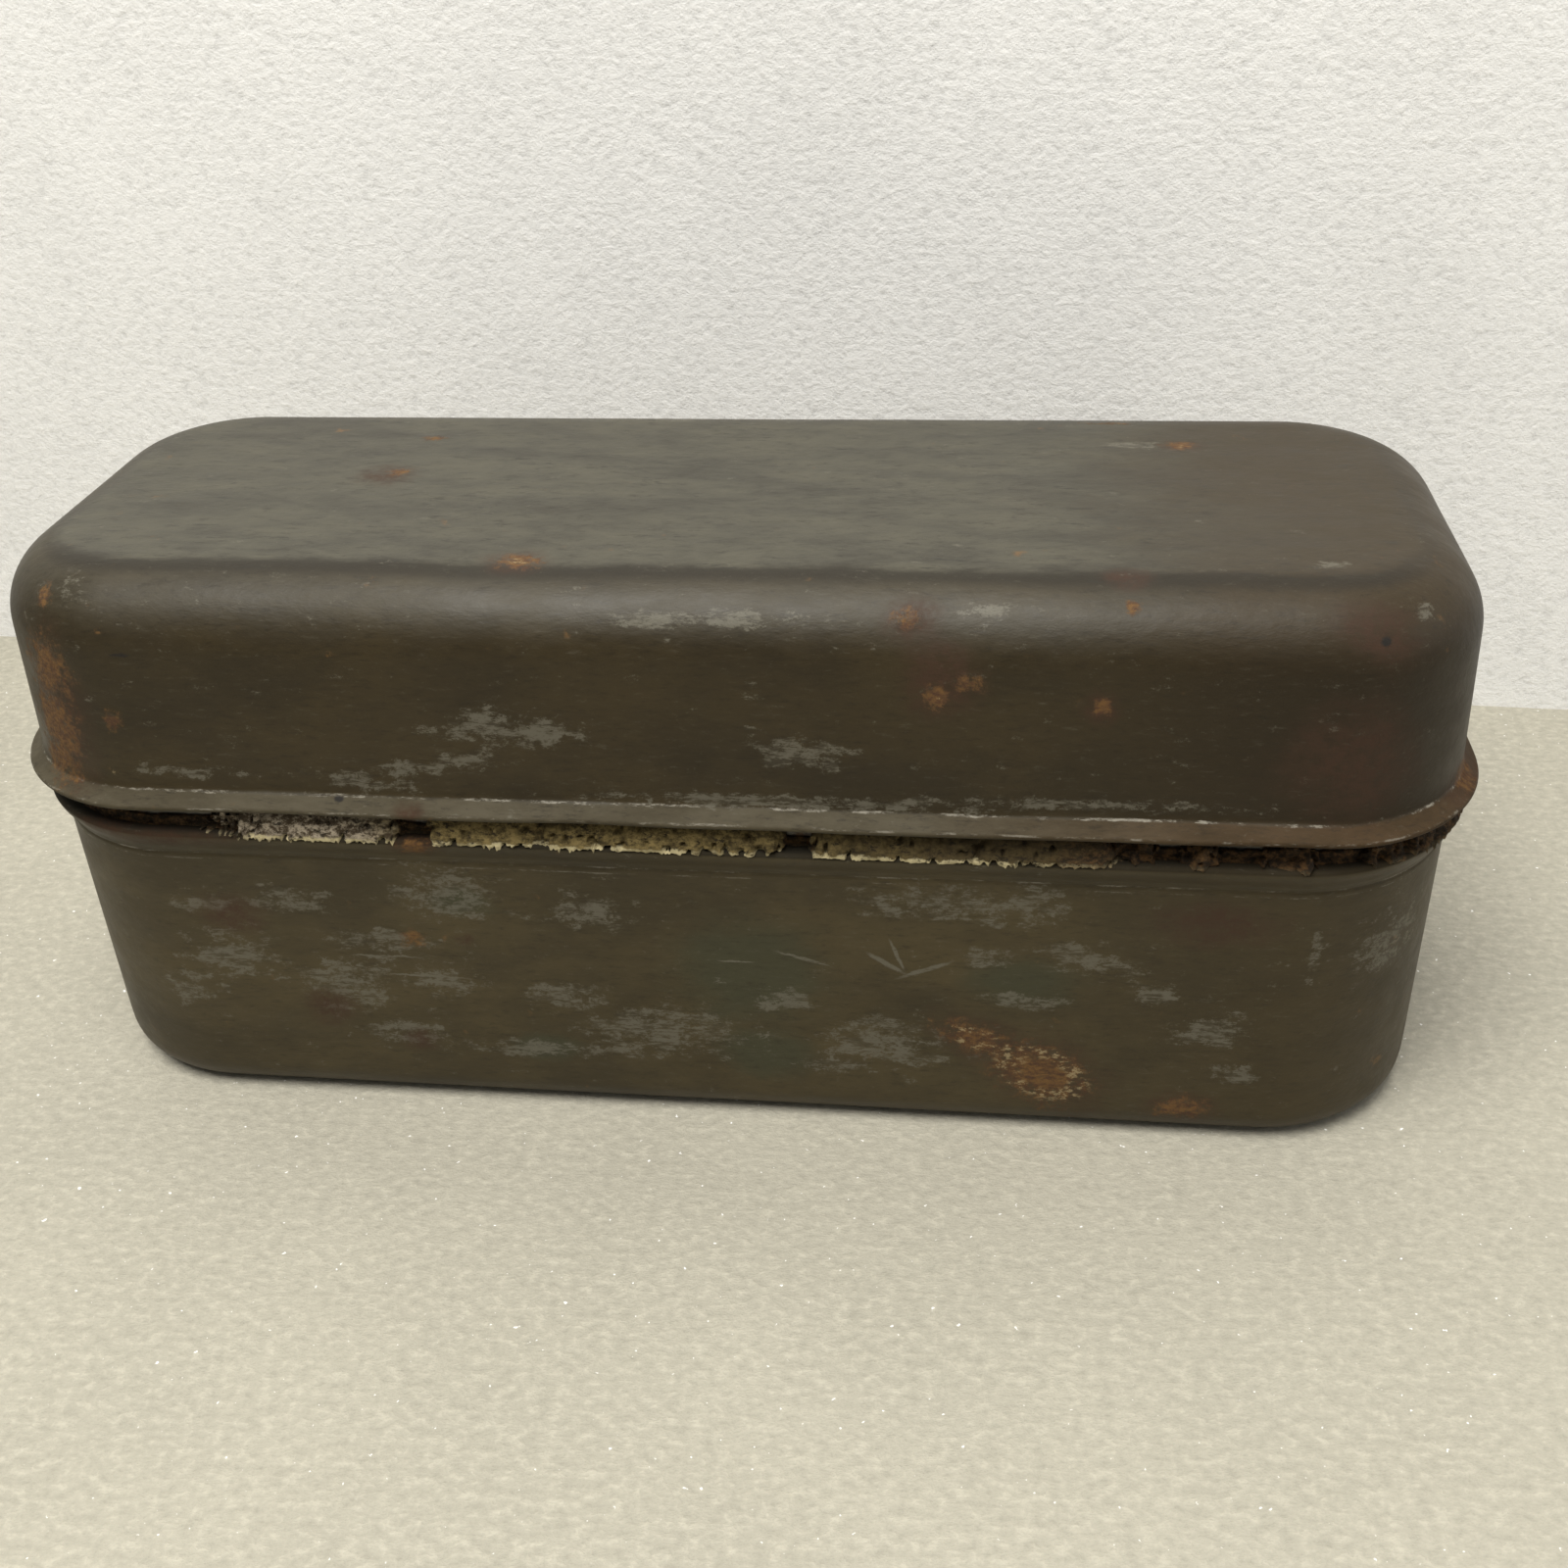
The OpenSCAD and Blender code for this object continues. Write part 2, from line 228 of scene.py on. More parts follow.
def select_where(piece, kind, test):
    """In edit mode, selects the piece's vertices, edges or faces that pass a test"""
    bpy.ops.object.mode_set(mode="EDIT")
    bpy.ops.mesh.select_mode(type=kind)
    bpy.ops.mesh.select_all(action="DESELECT")
    bpy.ops.object.mode_set(mode="OBJECT")
    mesh = piece.data
    found = 0
    if kind == "VERT":
        for vertex in mesh.vertices:
            vertex.select = test(vertex.co)
            found += vertex.select
    elif kind == "EDGE":
        for edge in mesh.edges:
            edge.select = test(*(mesh.vertices[i].co for i in edge.vertices))
            found += edge.select
    else:
        for face in mesh.polygons:
            face.select = test(face.center, face.normal)
            found += face.select
    bpy.ops.object.mode_set(mode="EDIT")
    if not found:
        raise RuntimeError(f"{piece.name}: nothing to select")


def draw_section(name, points, core):
    """Draws a section from one point, standing at the start of the front wall"""
    put_down()
    places = [Vector((-core[0], -core[1] - out, z)) for out, z in points]
    bpy.ops.mesh.primitive_plane_add(size=1 * MM, location=places[0])
    piece = bpy.context.object
    piece.name = piece.data.name = name
    bpy.ops.object.transform_apply(location=True, rotation=True, scale=True)
    bpy.ops.object.mode_set(mode="EDIT")
    bpy.ops.mesh.select_mode(type="VERT")
    bpy.ops.mesh.select_all(action="SELECT")
    bpy.ops.mesh.merge(type="CENTER")
    for here, there in zip(places, places[1:]):
        bpy.ops.mesh.extrude_region_move(TRANSFORM_OT_translate={"value": there - here})
    bpy.ops.mesh.select_all(action="SELECT")
    return piece


def carry_round(core, along, across, corner):
    """Carries the selected section round the plan: straight, corner, straight, corner"""
    x, y = core
    for offset, steps, middle in (
        ((2 * x / along, 0, 0), along, (x, -y, 0)),
        ((0, 2 * y / across, 0), across, (x, y, 0)),
        ((-2 * x / along, 0, 0), along, (-x, y, 0)),
        ((0, -2 * y / across, 0), across, (-x, -y, 0)),
    ):
        bpy.ops.mesh.extrude_repeat(steps=steps, offset=offset)
        bpy.ops.mesh.spin(steps=corner, angle=-math.pi / 2, center=middle, axis=(0, 0, 1))
    bpy.ops.mesh.select_all(action="SELECT")
    bpy.ops.mesh.remove_doubles(threshold=SEAM)


def fill_middle(piece, core, height):
    """Bridges the flat middle between the long walls' inner lines"""
    x, y = core

    def on_line(*ends):
        return all(abs(p.z - height) < SEAM and abs(abs(p.y) - y) < SEAM
                   and abs(p.x) < x + SEAM for p in ends)

    select_where(piece, "EDGE", on_line)
    bpy.ops.mesh.bridge_edge_loops(
        number_cuts=SWEEP[1] - 1, interpolation="LINEAR", smoothness=0, profile_shape_factor=0)


def split_along(piece, core, cuts):
    """Splits the edges that run along the plan, so that each step becomes several"""
    def place(p):
        return Vector((math.hypot(max(abs(p.x) - core[0], 0), max(abs(p.y) - core[1], 0)), p.z))

    select_where(piece, "EDGE", lambda p, q: (place(p) - place(q)).length < 0.02 * MM)
    bpy.ops.mesh.subdivide(number_cuts=cuts)


def refine(piece):
    """Smooths the sheet with a subdivision that is applied"""
    pick_up(piece)
    smooth = piece.modifiers.new("smooth", "SUBSURF")
    smooth.levels = smooth.render_levels = 1
    bpy.ops.object.modifier_apply(modifier=smooth.name)
    bpy.ops.object.shade_smooth_by_angle(angle=math.radians(40))


def chart(piece, name, patches):
    """Writes each point's distance to the nearest oval patch, 1 at a patch's edge"""
    mesh = piece.data
    co = np.zeros(len(mesh.vertices) * 3)
    mesh.vertices.foreach_get("co", co)
    co = co.reshape(-1, 3) / MM
    far = np.full(len(co), 4.0)
    for x, y, z, rx, ry, rz, *turn in patches:
        t = math.radians(turn[0]) if turn else 0.0
        px, py, pz = (co - (x, y, z)).T
        turned = np.stack([px * math.cos(t) - pz * math.sin(t), py,
                           px * math.sin(t) + pz * math.cos(t)], axis=1)
        far = np.minimum(far, np.linalg.norm(turned / (rx, ry, rz), axis=1))
    layer = mesh.attributes.new(name, "FLOAT", "POINT")
    layer.data.foreach_set("value", far.astype(np.float32))


def close_up(piece, angle=35):
    """Joins the seams, turns the faces outwards and smooths all but the sharp edges"""
    bpy.ops.object.mode_set(mode="EDIT")
    bpy.ops.mesh.select_mode(type="VERT")
    bpy.ops.mesh.select_all(action="SELECT")
    bpy.ops.mesh.remove_doubles(threshold=SEAM)
    bpy.ops.mesh.normals_make_consistent(inside=False)
    bpy.ops.mesh.select_all(action="DESELECT")
    bpy.ops.mesh.select_non_manifold()
    bpy.ops.object.mode_set(mode="OBJECT")
    loose = sum(v.select for v in piece.data.vertices)
    if loose:
        raise RuntimeError(f"{piece.name}: {loose} points lie on an open seam")
    pick_up(piece)
    bpy.ops.object.shade_smooth_by_angle(angle=math.radians(angle))


def press(piece, dents):
    """Dents the sheet at some spots, both faces alike, each fading out over its reach"""
    for spot, push, reach in dents:
        spot = Vector(spot) * MM
        nearest = min((v.co for v in piece.data.vertices), key=lambda co: (co - spot).length)
        nearest = nearest.copy()
        select_where(piece, "VERT", lambda co: (co - nearest).length < SEAM)
        bpy.ops.transform.translate(
            value=Vector(push) * MM, use_proportional_edit=True,
            proportional_edit_falloff="SMOOTH", proportional_size=reach * MM)
        bpy.ops.object.mode_set(mode="OBJECT")


def coat(piece, paint, low, high, heart):
    """Gives a shell its paint, and the inner paint where it faces its heart"""
    piece.data.materials.append(paint)
    piece.data.materials.append(inner_finish())
    heart = Vector((0, 0, heart))
    for face in piece.data.polygons:
        inside = low < face.center.z < high and face.normal.dot(face.center - heart) < 0
        face.material_index = int(inside)


def arc(middle, radius, start, end, steps):
    """Points of an arc in a section, in degrees from the outward direction"""
    turns = [math.radians(start + (end - start) * i / steps) for i in range(steps + 1)]
    return [(middle[0] + radius * math.cos(t), middle[1] + radius * math.sin(t))
            for t in turns]


def run(start, end, steps):
    """Points of a straight run in a section, without its start"""
    return [tuple(a + (b - a) * i / steps for a, b in zip(start, end))
            for i in range(1, steps + 1)]


def trace(out, up, *offsets):
    """Points of a section, each given by its offset in millimetres from one place"""
    return [(out + a * MM, up + b * MM) for a, b in offsets]


def draw_shell(name, section, core, flats, dents, **charts):
    """Makes a drawn shell from its section, with its flats, its dents and its charts"""
    piece = draw_section(name, section, core)
    carry_round(core, *SWEEP)
    for height in flats:
        fill_middle(piece, core, height)
    close_up(piece)
    press(piece, dents)
    refine(piece)
    for chart_name, patches in charts.items():
        chart(piece, chart_name, patches)
    return piece


def hand_over(piece, body, nodes):
    """Puts a finished piece on its body in place of the plain nodes"""
    put_down()
    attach(piece, body)
    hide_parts(*nodes)


# Finishes: each is laid from nodes on the piece's own coordinates, in millimetres


def shade(colour, by):
    """A colour made darker or lighter by one share, or by a share for each of its parts"""
    shares = by if isinstance(by, tuple) else (by,) * 3
    return tuple(min(1, part * share) for part, share in zip(colour, shares))


class Finish:
    """Lays the nodes of one material"""

    def __init__(self, name, roughness=0.5, metallic=0.0, specular=0.5):
        self.material = bpy.data.materials.new(name)
        self.material.use_nodes = True
        self.tree = self.material.node_tree
        self.shader = self.tree.nodes["Principled BSDF"]
        self.shader.inputs["Metallic"].default_value = metallic
        self.shader.inputs["Roughness"].default_value = roughness
        self.shader.inputs["Specular IOR Level"].default_value = specular
        coordinates = self.node("ShaderNodeTexCoord")
        self.normal = coordinates.outputs["Normal"]
        self.here = self.vector("MULTIPLY", coordinates.outputs["Object"], (1000, 1000, 1000))

    def node(self, kind, **settings):
        made = self.tree.nodes.new(kind)
        for key, value in settings.items():
            setattr(made, key, value)
        return made

    def feed(self, socket, value):
        if isinstance(value, bpy.types.NodeSocket):
            self.tree.links.new(value, socket)
        elif socket.type == "RGBA" and len(value) == 3:
            socket.default_value = (*value, 1)
        else:
            socket.default_value = value

    def vector(self, operation, a, b):
        made = self.node("ShaderNodeVectorMath", operation=operation)
        self.feed(made.inputs[0], a)
        if b is not None:
            self.feed(made.inputs[1], b)
        return made.outputs["Value" if operation == "LENGTH" else "Vector"]

    def math(self, operation, a, b=0.0):
        made = self.node("ShaderNodeMath", operation=operation)
        for socket, value in zip(made.inputs, (a, b, 0.0)):
            self.feed(socket, value)
        return made.outputs[0]

    def plus(self, a, b):
        return self.math("ADD", a, b)

    def minus(self, a, b):
        return self.math("SUBTRACT", a, b)

    def times(self, a, b):
        return self.math("MULTIPLY", a, b)

    def most(self, a, b):
        return self.math("MAXIMUM", a, b)

    def least(self, a, b):
        return self.math("MINIMUM", a, b)

    def apart(self, a, b):
        """How far a value lies from another"""
        return self.math("ABSOLUTE", self.minus(a, b))

    def shaken(self, value, noise, amount):
        """A value pushed up and down by a noise"""
        return self.plus(value, self.times(self.minus(noise, 0.5), amount))

    def ramp(self, value, low, high, to_low=0.0, to_high=1.0):
        """Smooth rise from to_low at low to to_high at high"""
        made = self.node("ShaderNodeMapRange", interpolation_type="SMOOTHSTEP")
        for socket, number in zip(made.inputs, (value, low, high, to_low, to_high)):
            self.feed(socket, number)
        return made.outputs[0]

    def grain(self, size, detail=3.0, rough=0.55, stretch=(1, 1, 1), at=None, shift=0.0):
        """Noise whose features are about size millimetres, longer along a stretched axis"""
        where = at or self.here
        if stretch != (1, 1, 1) or shift:
            where = self.vector("MULTIPLY", where, tuple(1 / s for s in stretch))
            where = self.vector("ADD", where, (shift, shift * 0.7, shift * 1.3))
        made = self.node("ShaderNodeTexNoise")
        self.feed(made.inputs["Vector"], where)
        self.feed(made.inputs["Scale"], 1 / size)
        self.feed(made.inputs["Detail"], detail)
        self.feed(made.inputs["Roughness"], rough)
        return made.outputs[0]

    def mix(self, share, a, b):
        made = self.node("ShaderNodeMix", data_type="RGBA")
        self.feed(made.inputs[0], share)
        self.feed(made.inputs[6], a)
        self.feed(made.inputs[7], b)
        return made.outputs[2]

    def clouded(self, noise, low, high, colour, dark, light):
        """A colour that goes from a darker to a lighter share of itself with a noise"""
        return self.mix(self.ramp(noise, low, high), shade(colour, dark), shade(colour, light))

    def axis(self, name, of=None):
        made = self.node("ShaderNodeSeparateXYZ")
        self.feed(made.inputs[0], of or self.here)
        return made.outputs[name]

    def wander(self, amount, size):
        """The piece's coordinates, shaken so that outlines drawn on them are ragged"""
        made = self.node("ShaderNodeTexNoise")
        self.feed(made.inputs["Vector"], self.here)
        self.feed(made.inputs["Scale"], 1 / size)
        self.feed(made.inputs["Detail"], 4.0)
        self.feed(made.inputs["Roughness"], 0.6)
        off = self.vector("SUBTRACT", made.outputs["Color"], (0.5, 0.5, 0.5))
        off = self.vector("MULTIPLY", off, (amount,) * 3)
        return self.vector("ADD", self.here, off)

    def nearest(self, patches, at):
        """Distance to the nearest of some oval patches, 1 at a patch's edge"""
        closest = None
        for x, y, z, rx, ry, rz, *turn in patches:
            made = self.node("ShaderNodeMapping", vector_type="TEXTURE")
            self.feed(made.inputs["Vector"], at)
            made.inputs["Location"].default_value = (x, y, z)
            made.inputs["Rotation"].default_value = (0, math.radians(turn[0]) if turn else 0, 0)
            made.inputs["Scale"].default_value = (rx, ry, rz)
            far = self.vector("LENGTH", made.outputs[0], None)
            closest = far if closest is None else self.least(closest, far)
        return closest

    def read(self, name):
        """A number charted on the piece's points"""
        return self.node("ShaderNodeAttribute", attribute_name=name).outputs["Fac"]

    def charted(self, name, raggedness, size, shift=0.0):
        """Distance charted on the piece, made ragged by a noise"""
        far = self.read(name)
        off = self.minus(self.grain(size, 5, 0.65, (1.5, 1, 1), shift=shift), 0.5)
        return self.plus(far, self.times(off, raggedness))

    def surface(self, colour=None, rough=None, relief=None, depth=0.1, metal=None):
        """Joins colour, roughness and relief to the shader"""
        if colour is not None:
            self.feed(self.shader.inputs["Base Color"], colour)
        if rough is not None:
            self.feed(self.shader.inputs["Roughness"], rough)
        if metal is not None:
            self.feed(self.shader.inputs["Metallic"], metal)
        if relief is not None:
            bump = self.node("ShaderNodeBump")
            bump.inputs["Strength"].default_value = 1.0
            bump.inputs["Distance"].default_value = depth * MM
            self.feed(bump.inputs["Height"], relief)
            self.feed(self.shader.inputs["Normal"], bump.outputs[0])
        return self.material


# Oval patches on the lid and the base: middle, half sizes and turn, in millimetres and degrees


def on_front(y, depth, patches):
    """Patches on the front wall, given by their middle and half sizes along and up, and turn"""
    return tuple((x, y, z, along, depth, up, *turn) for x, z, along, up, *turn in patches)


LID_RUST = (
    (-29, -31, 102.6, 4.4, 2.6, 2.5), (32.6, -40.3, 98.2, 2.2, 2, 1.6),
    (-60, 5, 102.6, 2.6, 1.6, 1), (41.8, -43.6, 88.9, 2.6, 3, 1.6),
    (64.9, 31.6, 102.4, 4.5, 0.8, 1), (-107.2, -40.6, 86, 4.8, 7, 6.6, 6),
    (-108.6, -40, 75.5, 5.8, 7, 8, 4), (-109.5, -39.6, 68.6, 6, 6, 4),
    (-96.4, -44, 78.8, 1.7, 3, 2.2), (-106.1, -37.6, 98.1, 1.9, 2.5, 2.2),
    (121, -27.6, 66.4, 4, 5, 2.6), (118, 16, 88, 3, 5, 4), (119.5, 5, 70, 3, 3.5, 2.5),
    (40, 44, 76, 6, 3, 4, 20), (-20, 45, 69, 9, 3, 2), (-88, 41, 92, 4, 4, 3),
    (-119, 12, 80, 3, 6, 5), (-58, 22, 102.6, 2.4, 1.6, 1),
)
LID_SPOTS = (
    (62.1, -43.8, 85.6, 1.5, 3, 1.7), (77.4, 20.3, 102.6, 3.2, 1.9, 2),
    (37.2, -43.7, 86.5, 1.9, 3, 2.2), (66, -38.5, 99.5, 1.2, 1.3, 1.2),
)
LID_STAIN = (
    (38, -43.5, 89.5, 6.5, 5, 7), (33, -40, 98, 5, 4, 3.6), (-29, -31, 102.6, 5.4, 4, 3),
    (-61.5, 3.4, 102.6, 5.5, 5, 2, 0), (102, -40.5, 97, 7.5, 5, 5, 20), (100, -43, 77, 13, 6, 10),
    (-106, -41, 78, 6, 6, 15, 4), (65.1, -33.5, 102.2, 4, 3, 2), (62.1, -43.8, 85.3, 3, 3, 3),
    (77.4, 20.3, 102.6, 4.6, 2.4, 2), (-48, -47, 64.3, 3, 3, 2), (121, -27, 66, 7, 9, 4),
    (60, 45, 80, 14, 4, 9), (-30, 45, 68, 16, 4, 5), (-119, 12, 80, 4, 9, 8),
    (118, 12, 80, 4, 12, 12),
)
LID_SCUFF_AND_SHEEN = on_front(-44.2, 3, (
    (-30, 79, 10, 3), (16, 76, 7, 2.4), (12, 67.5, 30, 1.1), (-84, 69.5, 9, 1.1),
    (60, 68.4, 24, 0.9),
)) + (
    (44.5, -39.3, 98.9, 4, 3, 1), (-6, -41, 96.8, 5.5, 3, 0.7), (96, -28.5, 102.2, 3, 1.2, 1.5),
    (69, 20.5, 102.6, 5.5, 1.6, 1.5), (-101, -38.7, 99, 2.6, 3, 1.8),
    (-47, -44.4, 71.5, 5, 3, 1.4), (-56, -44.4, 69, 7, 3, 1.4, 8), (-37, -44.3, 73, 4, 3, 1),
    # The long patch at (5, -41.2, 97.5) is partly a rub mark, partly a painted sheen along the
    # top's front edge
    (5, -41.2, 97.5, 17, 3, 0.9), (108, -36.5, 98.5, 1.6, 2.2, 1.2), (20, 44.5, 80, 18, 3, 6),
    (-70, 43, 85, 14, 4, 6), (119, -6, 84, 3, 14, 6), (-119, -4, 90, 3, 12, 4),
    (0, 36, 101, 60, 3, 3),
)
LID_FLAKES = (
    (-29, -31, 102.6, 1.8, 1, 1.5), (77.4, 20.3, 102.6, 2, 0.9, 1),
    (-98.2, -42.6, 69, 1.2, 2, 1.2), (37.2, -43.7, 86.5, 0.7, 2, 0.7),
    (65.1, -33.5, 102.3, 0.8, 0.6, 0.6),
)
LID_PITS = (
    (102.4, -40.8, 95.9, 0.9, 1, 0.8), (99.6, -39.4, 99.6, 0.5, 0.6, 0.9, 30),
    (-92.5, -43.2, 90.6, 1.8, 2, 0.35), (-60, -45, 65.7, 1, 1, 0.5),
)
BASE_RUST = (
    (44.5, -44.3, 20.6, 7.2, 4, 3.2, 22), (55.8, -44.3, 13.6, 9.6, 6, 6.2, 30),
    (80.1, -44, 7, 4.8, 5, 2.7), (-52.6, -44.2, 36.8, 2.7, 3, 2.1),
    (-48.4, -46.2, 57.2, 3, 2, 2.2), (-111, -32, 20, 3, 4, 5), (119, -8, 30, 4, 5, 6),
    (118, 20, 8, 5, 6, 3), (60, 44.3, 20, 8, 4, 6, 15), (-15, 44.3, 46, 6, 3, 4),
    (-70, 44.3, 12, 10, 4, 4), (-121, 6, 38, 3, 4, 5), (-121, -8, 10, 3, 6, 4),
)
BASE_STAIN = (
    (46, -44.3, 20.2, 10, 5, 5, 22), (56, -44.3, 13.4, 12, 7, 8.2, 30),
    (80.1, -44, 7.2, 6.5, 5, 3.8), (-54.3, -44.3, 14.3, 4, 3, 2.6), (-84.5, -44.3, 41, 7, 4, 4.5),
    (-70, -44.3, 21, 5, 3, 4), (82, -44.3, 46.5, 11, 4, 4.6), (-48.6, -46.2, 57, 5, 3, 2.6),
    (-43, -44.3, 37, 2, 2, 1.6), (60, 44.3, 20, 12, 4, 9), (-70, 44.3, 12, 14, 4, 8),
    (-121, 6, 38, 4, 8, 9), (119, -8, 30, 5, 9, 10), (-93, -46, 57, 14, 3, 2),
    (-105, -44, 57.5, 10, 4, 2), (0, 0, 0, 60, 22, 1),
)
BASE_SCUFF = on_front(-44.3, 3, (
    (-20, 44, 7, 3), (-72, 44, 6, 2.4), (-26, 26, 6, 2.2), (12, 27, 5, 2.4), (46, 38, 4, 1.6),
    (75, 31, 5, 2), (20, 12.5, 7, 1.4), (88, 15, 5, 1.6), (-86, 31.5, 8, 4.6),
    (-66, 26.5, 8, 5.4), (-45, 46.5, 9, 4.6), (-47, 27.8, 7, 2.8), (-34, 13.2, 13, 1.9),
    (-9.5, 18.6, 12, 4.6), (38, 50.2, 12, 1.5), (40, 46.6, 15, 1.5), (53, 48.6, 4.4, 3.6),
    (63, 38.2, 6.5, 2.8, 20), (53, 29.2, 7.5, 1.5), (28, 19.5, 8, 4.4), (36, 15.2, 9, 1, -12),
    (84, 24.4, 6, 2.8), (-88, 43, 5, 2), (-58, 36, 9, 2), (-56, 16, 8, 2.2),
)) + (
    (-96, -44, 24, 4, 3, 3), (98.4, -43.8, 41, 0.8, 2, 4.6), (30, 44.3, 40, 18, 3, 5),
    (-50, 44.3, 30, 20, 3, 6), (90, 42, 34, 14, 6, 8), (121, 8, 40, 3, 14, 5),
    (-121, 0, 26, 3, 12, 6), (110, -36, 40, 6, 6, 5), (0, 0, 0, 100, 34, 1),
)
BASE_GREEN = on_front(-44.3, 3, (
    (6, 33, 15, 12), (-31, 14, 7, 3), (8, 15, 9, 6), (52, 33, 10, 5), (-42, 45, 6, 3),
)) + (
    (-40, 44.3, 30, 20, 3, 12), (-121, 10, 20, 3, 14, 12),
)
BASE_FLAKES = (
    (56, -44.3, 13.4, 8.2, 5, 5, 30), (44.5, -44.3, 20.6, 5, 4, 2, 22),
)
SCRATCHES = on_front(-44.3, 2, (
    (29.4, 35.8, 3.6, 0.42, 34), (35.8, 34.8, 4.6, 0.42, -24), (31.2, 37.6, 3.4, 0.3, 70),
    (15.5, 36, 4.6, 0.28, 16), (-58, 32.6, 6, 0.18), (-51, 28.6, 7, 0.2), (4, 34.8, 3, 0.2),
))

# Dents: spot, push and reach
LID_DENTS = (
    ((-25, -31, 102.6), (0, 0, -0.35), 26), ((52, -33, 102.6), (0, 0, -0.22), 30),
    ((38, -41, 97), (0, 0.35, -0.15), 16), ((-62, -41, 97), (0, 0.25, -0.1), 22),
    ((102, -40.5, 96), (-0.2, 0.4, -0.1), 9), ((-5, -44, 78), (0, 0.3, 0), 26),
    ((70, -44, 76), (0, 0.35, 0), 24), ((5, 4, 102.6), (0, 0, -0.3), 40),
    ((-98, 8, 102.6), (0, 0, -0.25), 20), ((120, 6, 84), (-0.4, 0, 0), 16),
    ((-120, -6, 80), (0.35, 0, 0), 18), ((-30, 44, 84), (0, -0.4, 0), 26),
    ((86, 12, 102.6), (0, 0, -0.2), 24), ((-70, -47.3, 64), (0, 0, 0.3), 24),
    ((-18, -47.3, 64), (0, 0, 0.35), 16), ((12, -47.3, 64), (0, 0.15, 0.1), 12),
    ((60, -47.3, 64), (0, 0, 0.15), 18), ((92, -47.3, 64), (0, 0.12, 0.32), 16),
    ((125, -10, 64), (-0.2, 0, 0.3), 14),
)
BASE_DENTS = (
    ((-60, -44.3, 30), (0, 0.35, 0), 30), ((10, -44.3, 24), (0, 0.3, 0), 34),
    ((78, -44.3, 32), (0, 0.3, 0), 26), ((55, -44.3, 15), (0, 0.25, 0), 12),
    ((120, 4, 30), (-0.4, 0, 0), 20), ((-120, 0, 26), (0.4, 0, 0), 20),
    ((-20, 44.3, 26), (0, -0.35, 0), 32), ((60, 44.3, 20), (0, -0.3, 0), 24),
    ((-30, -46.2, 57.6), (0, 0.15, 0), 14), ((48, -46.2, 57.6), (0, 0.18, 0), 16),
)

# Bare lines round the sheet: height, half width and how much of the line is bare
LID_LINES = ((66.2, 0.26, 0.8), (64.2, 0.22, 0.45))
BASE_LINES = ((53.3, 0.22, 0.6), (52.2, 0.16, 0.3))
# Heights between which the lid's wall gives way to the dusty flange
FLANGE_ROOT = (66.4, 65.9)
# Heights between which the base's bead is painted dark where the strip sat on it: partly a stain,
# partly painted shade under the strip and the flange
BEAD_STAIN_AND_SHADE = (57.2, 58.1)

# Tones that belong to one finish only
DUST_LEFT, DUST_RIGHT = (0.083, 0.070, 0.043), (0.060, 0.032, 0.010)
BARE_EDGE = (0.30, 0.28, 0.235)
PIT_HOLE = (0.012, 0.010, 0.008)
OLIVE_DARK, OLIVE_LIGHT = (0.038, 0.027, 0.009), (0.19, 0.142, 0.056)
PALE_DARK, PALE_LIGHT = (0.05, 0.035, 0.02), (0.34, 0.29, 0.22)
DIRT, TAR = (0.028, 0.019, 0.008), (0.014, 0.010, 0.005)
SOAKED_AND_SHADED_DARK, SOAKED_AND_SHADED_LIGHT = (0.010, 0.006, 0.003), (0.105, 0.055, 0.02)


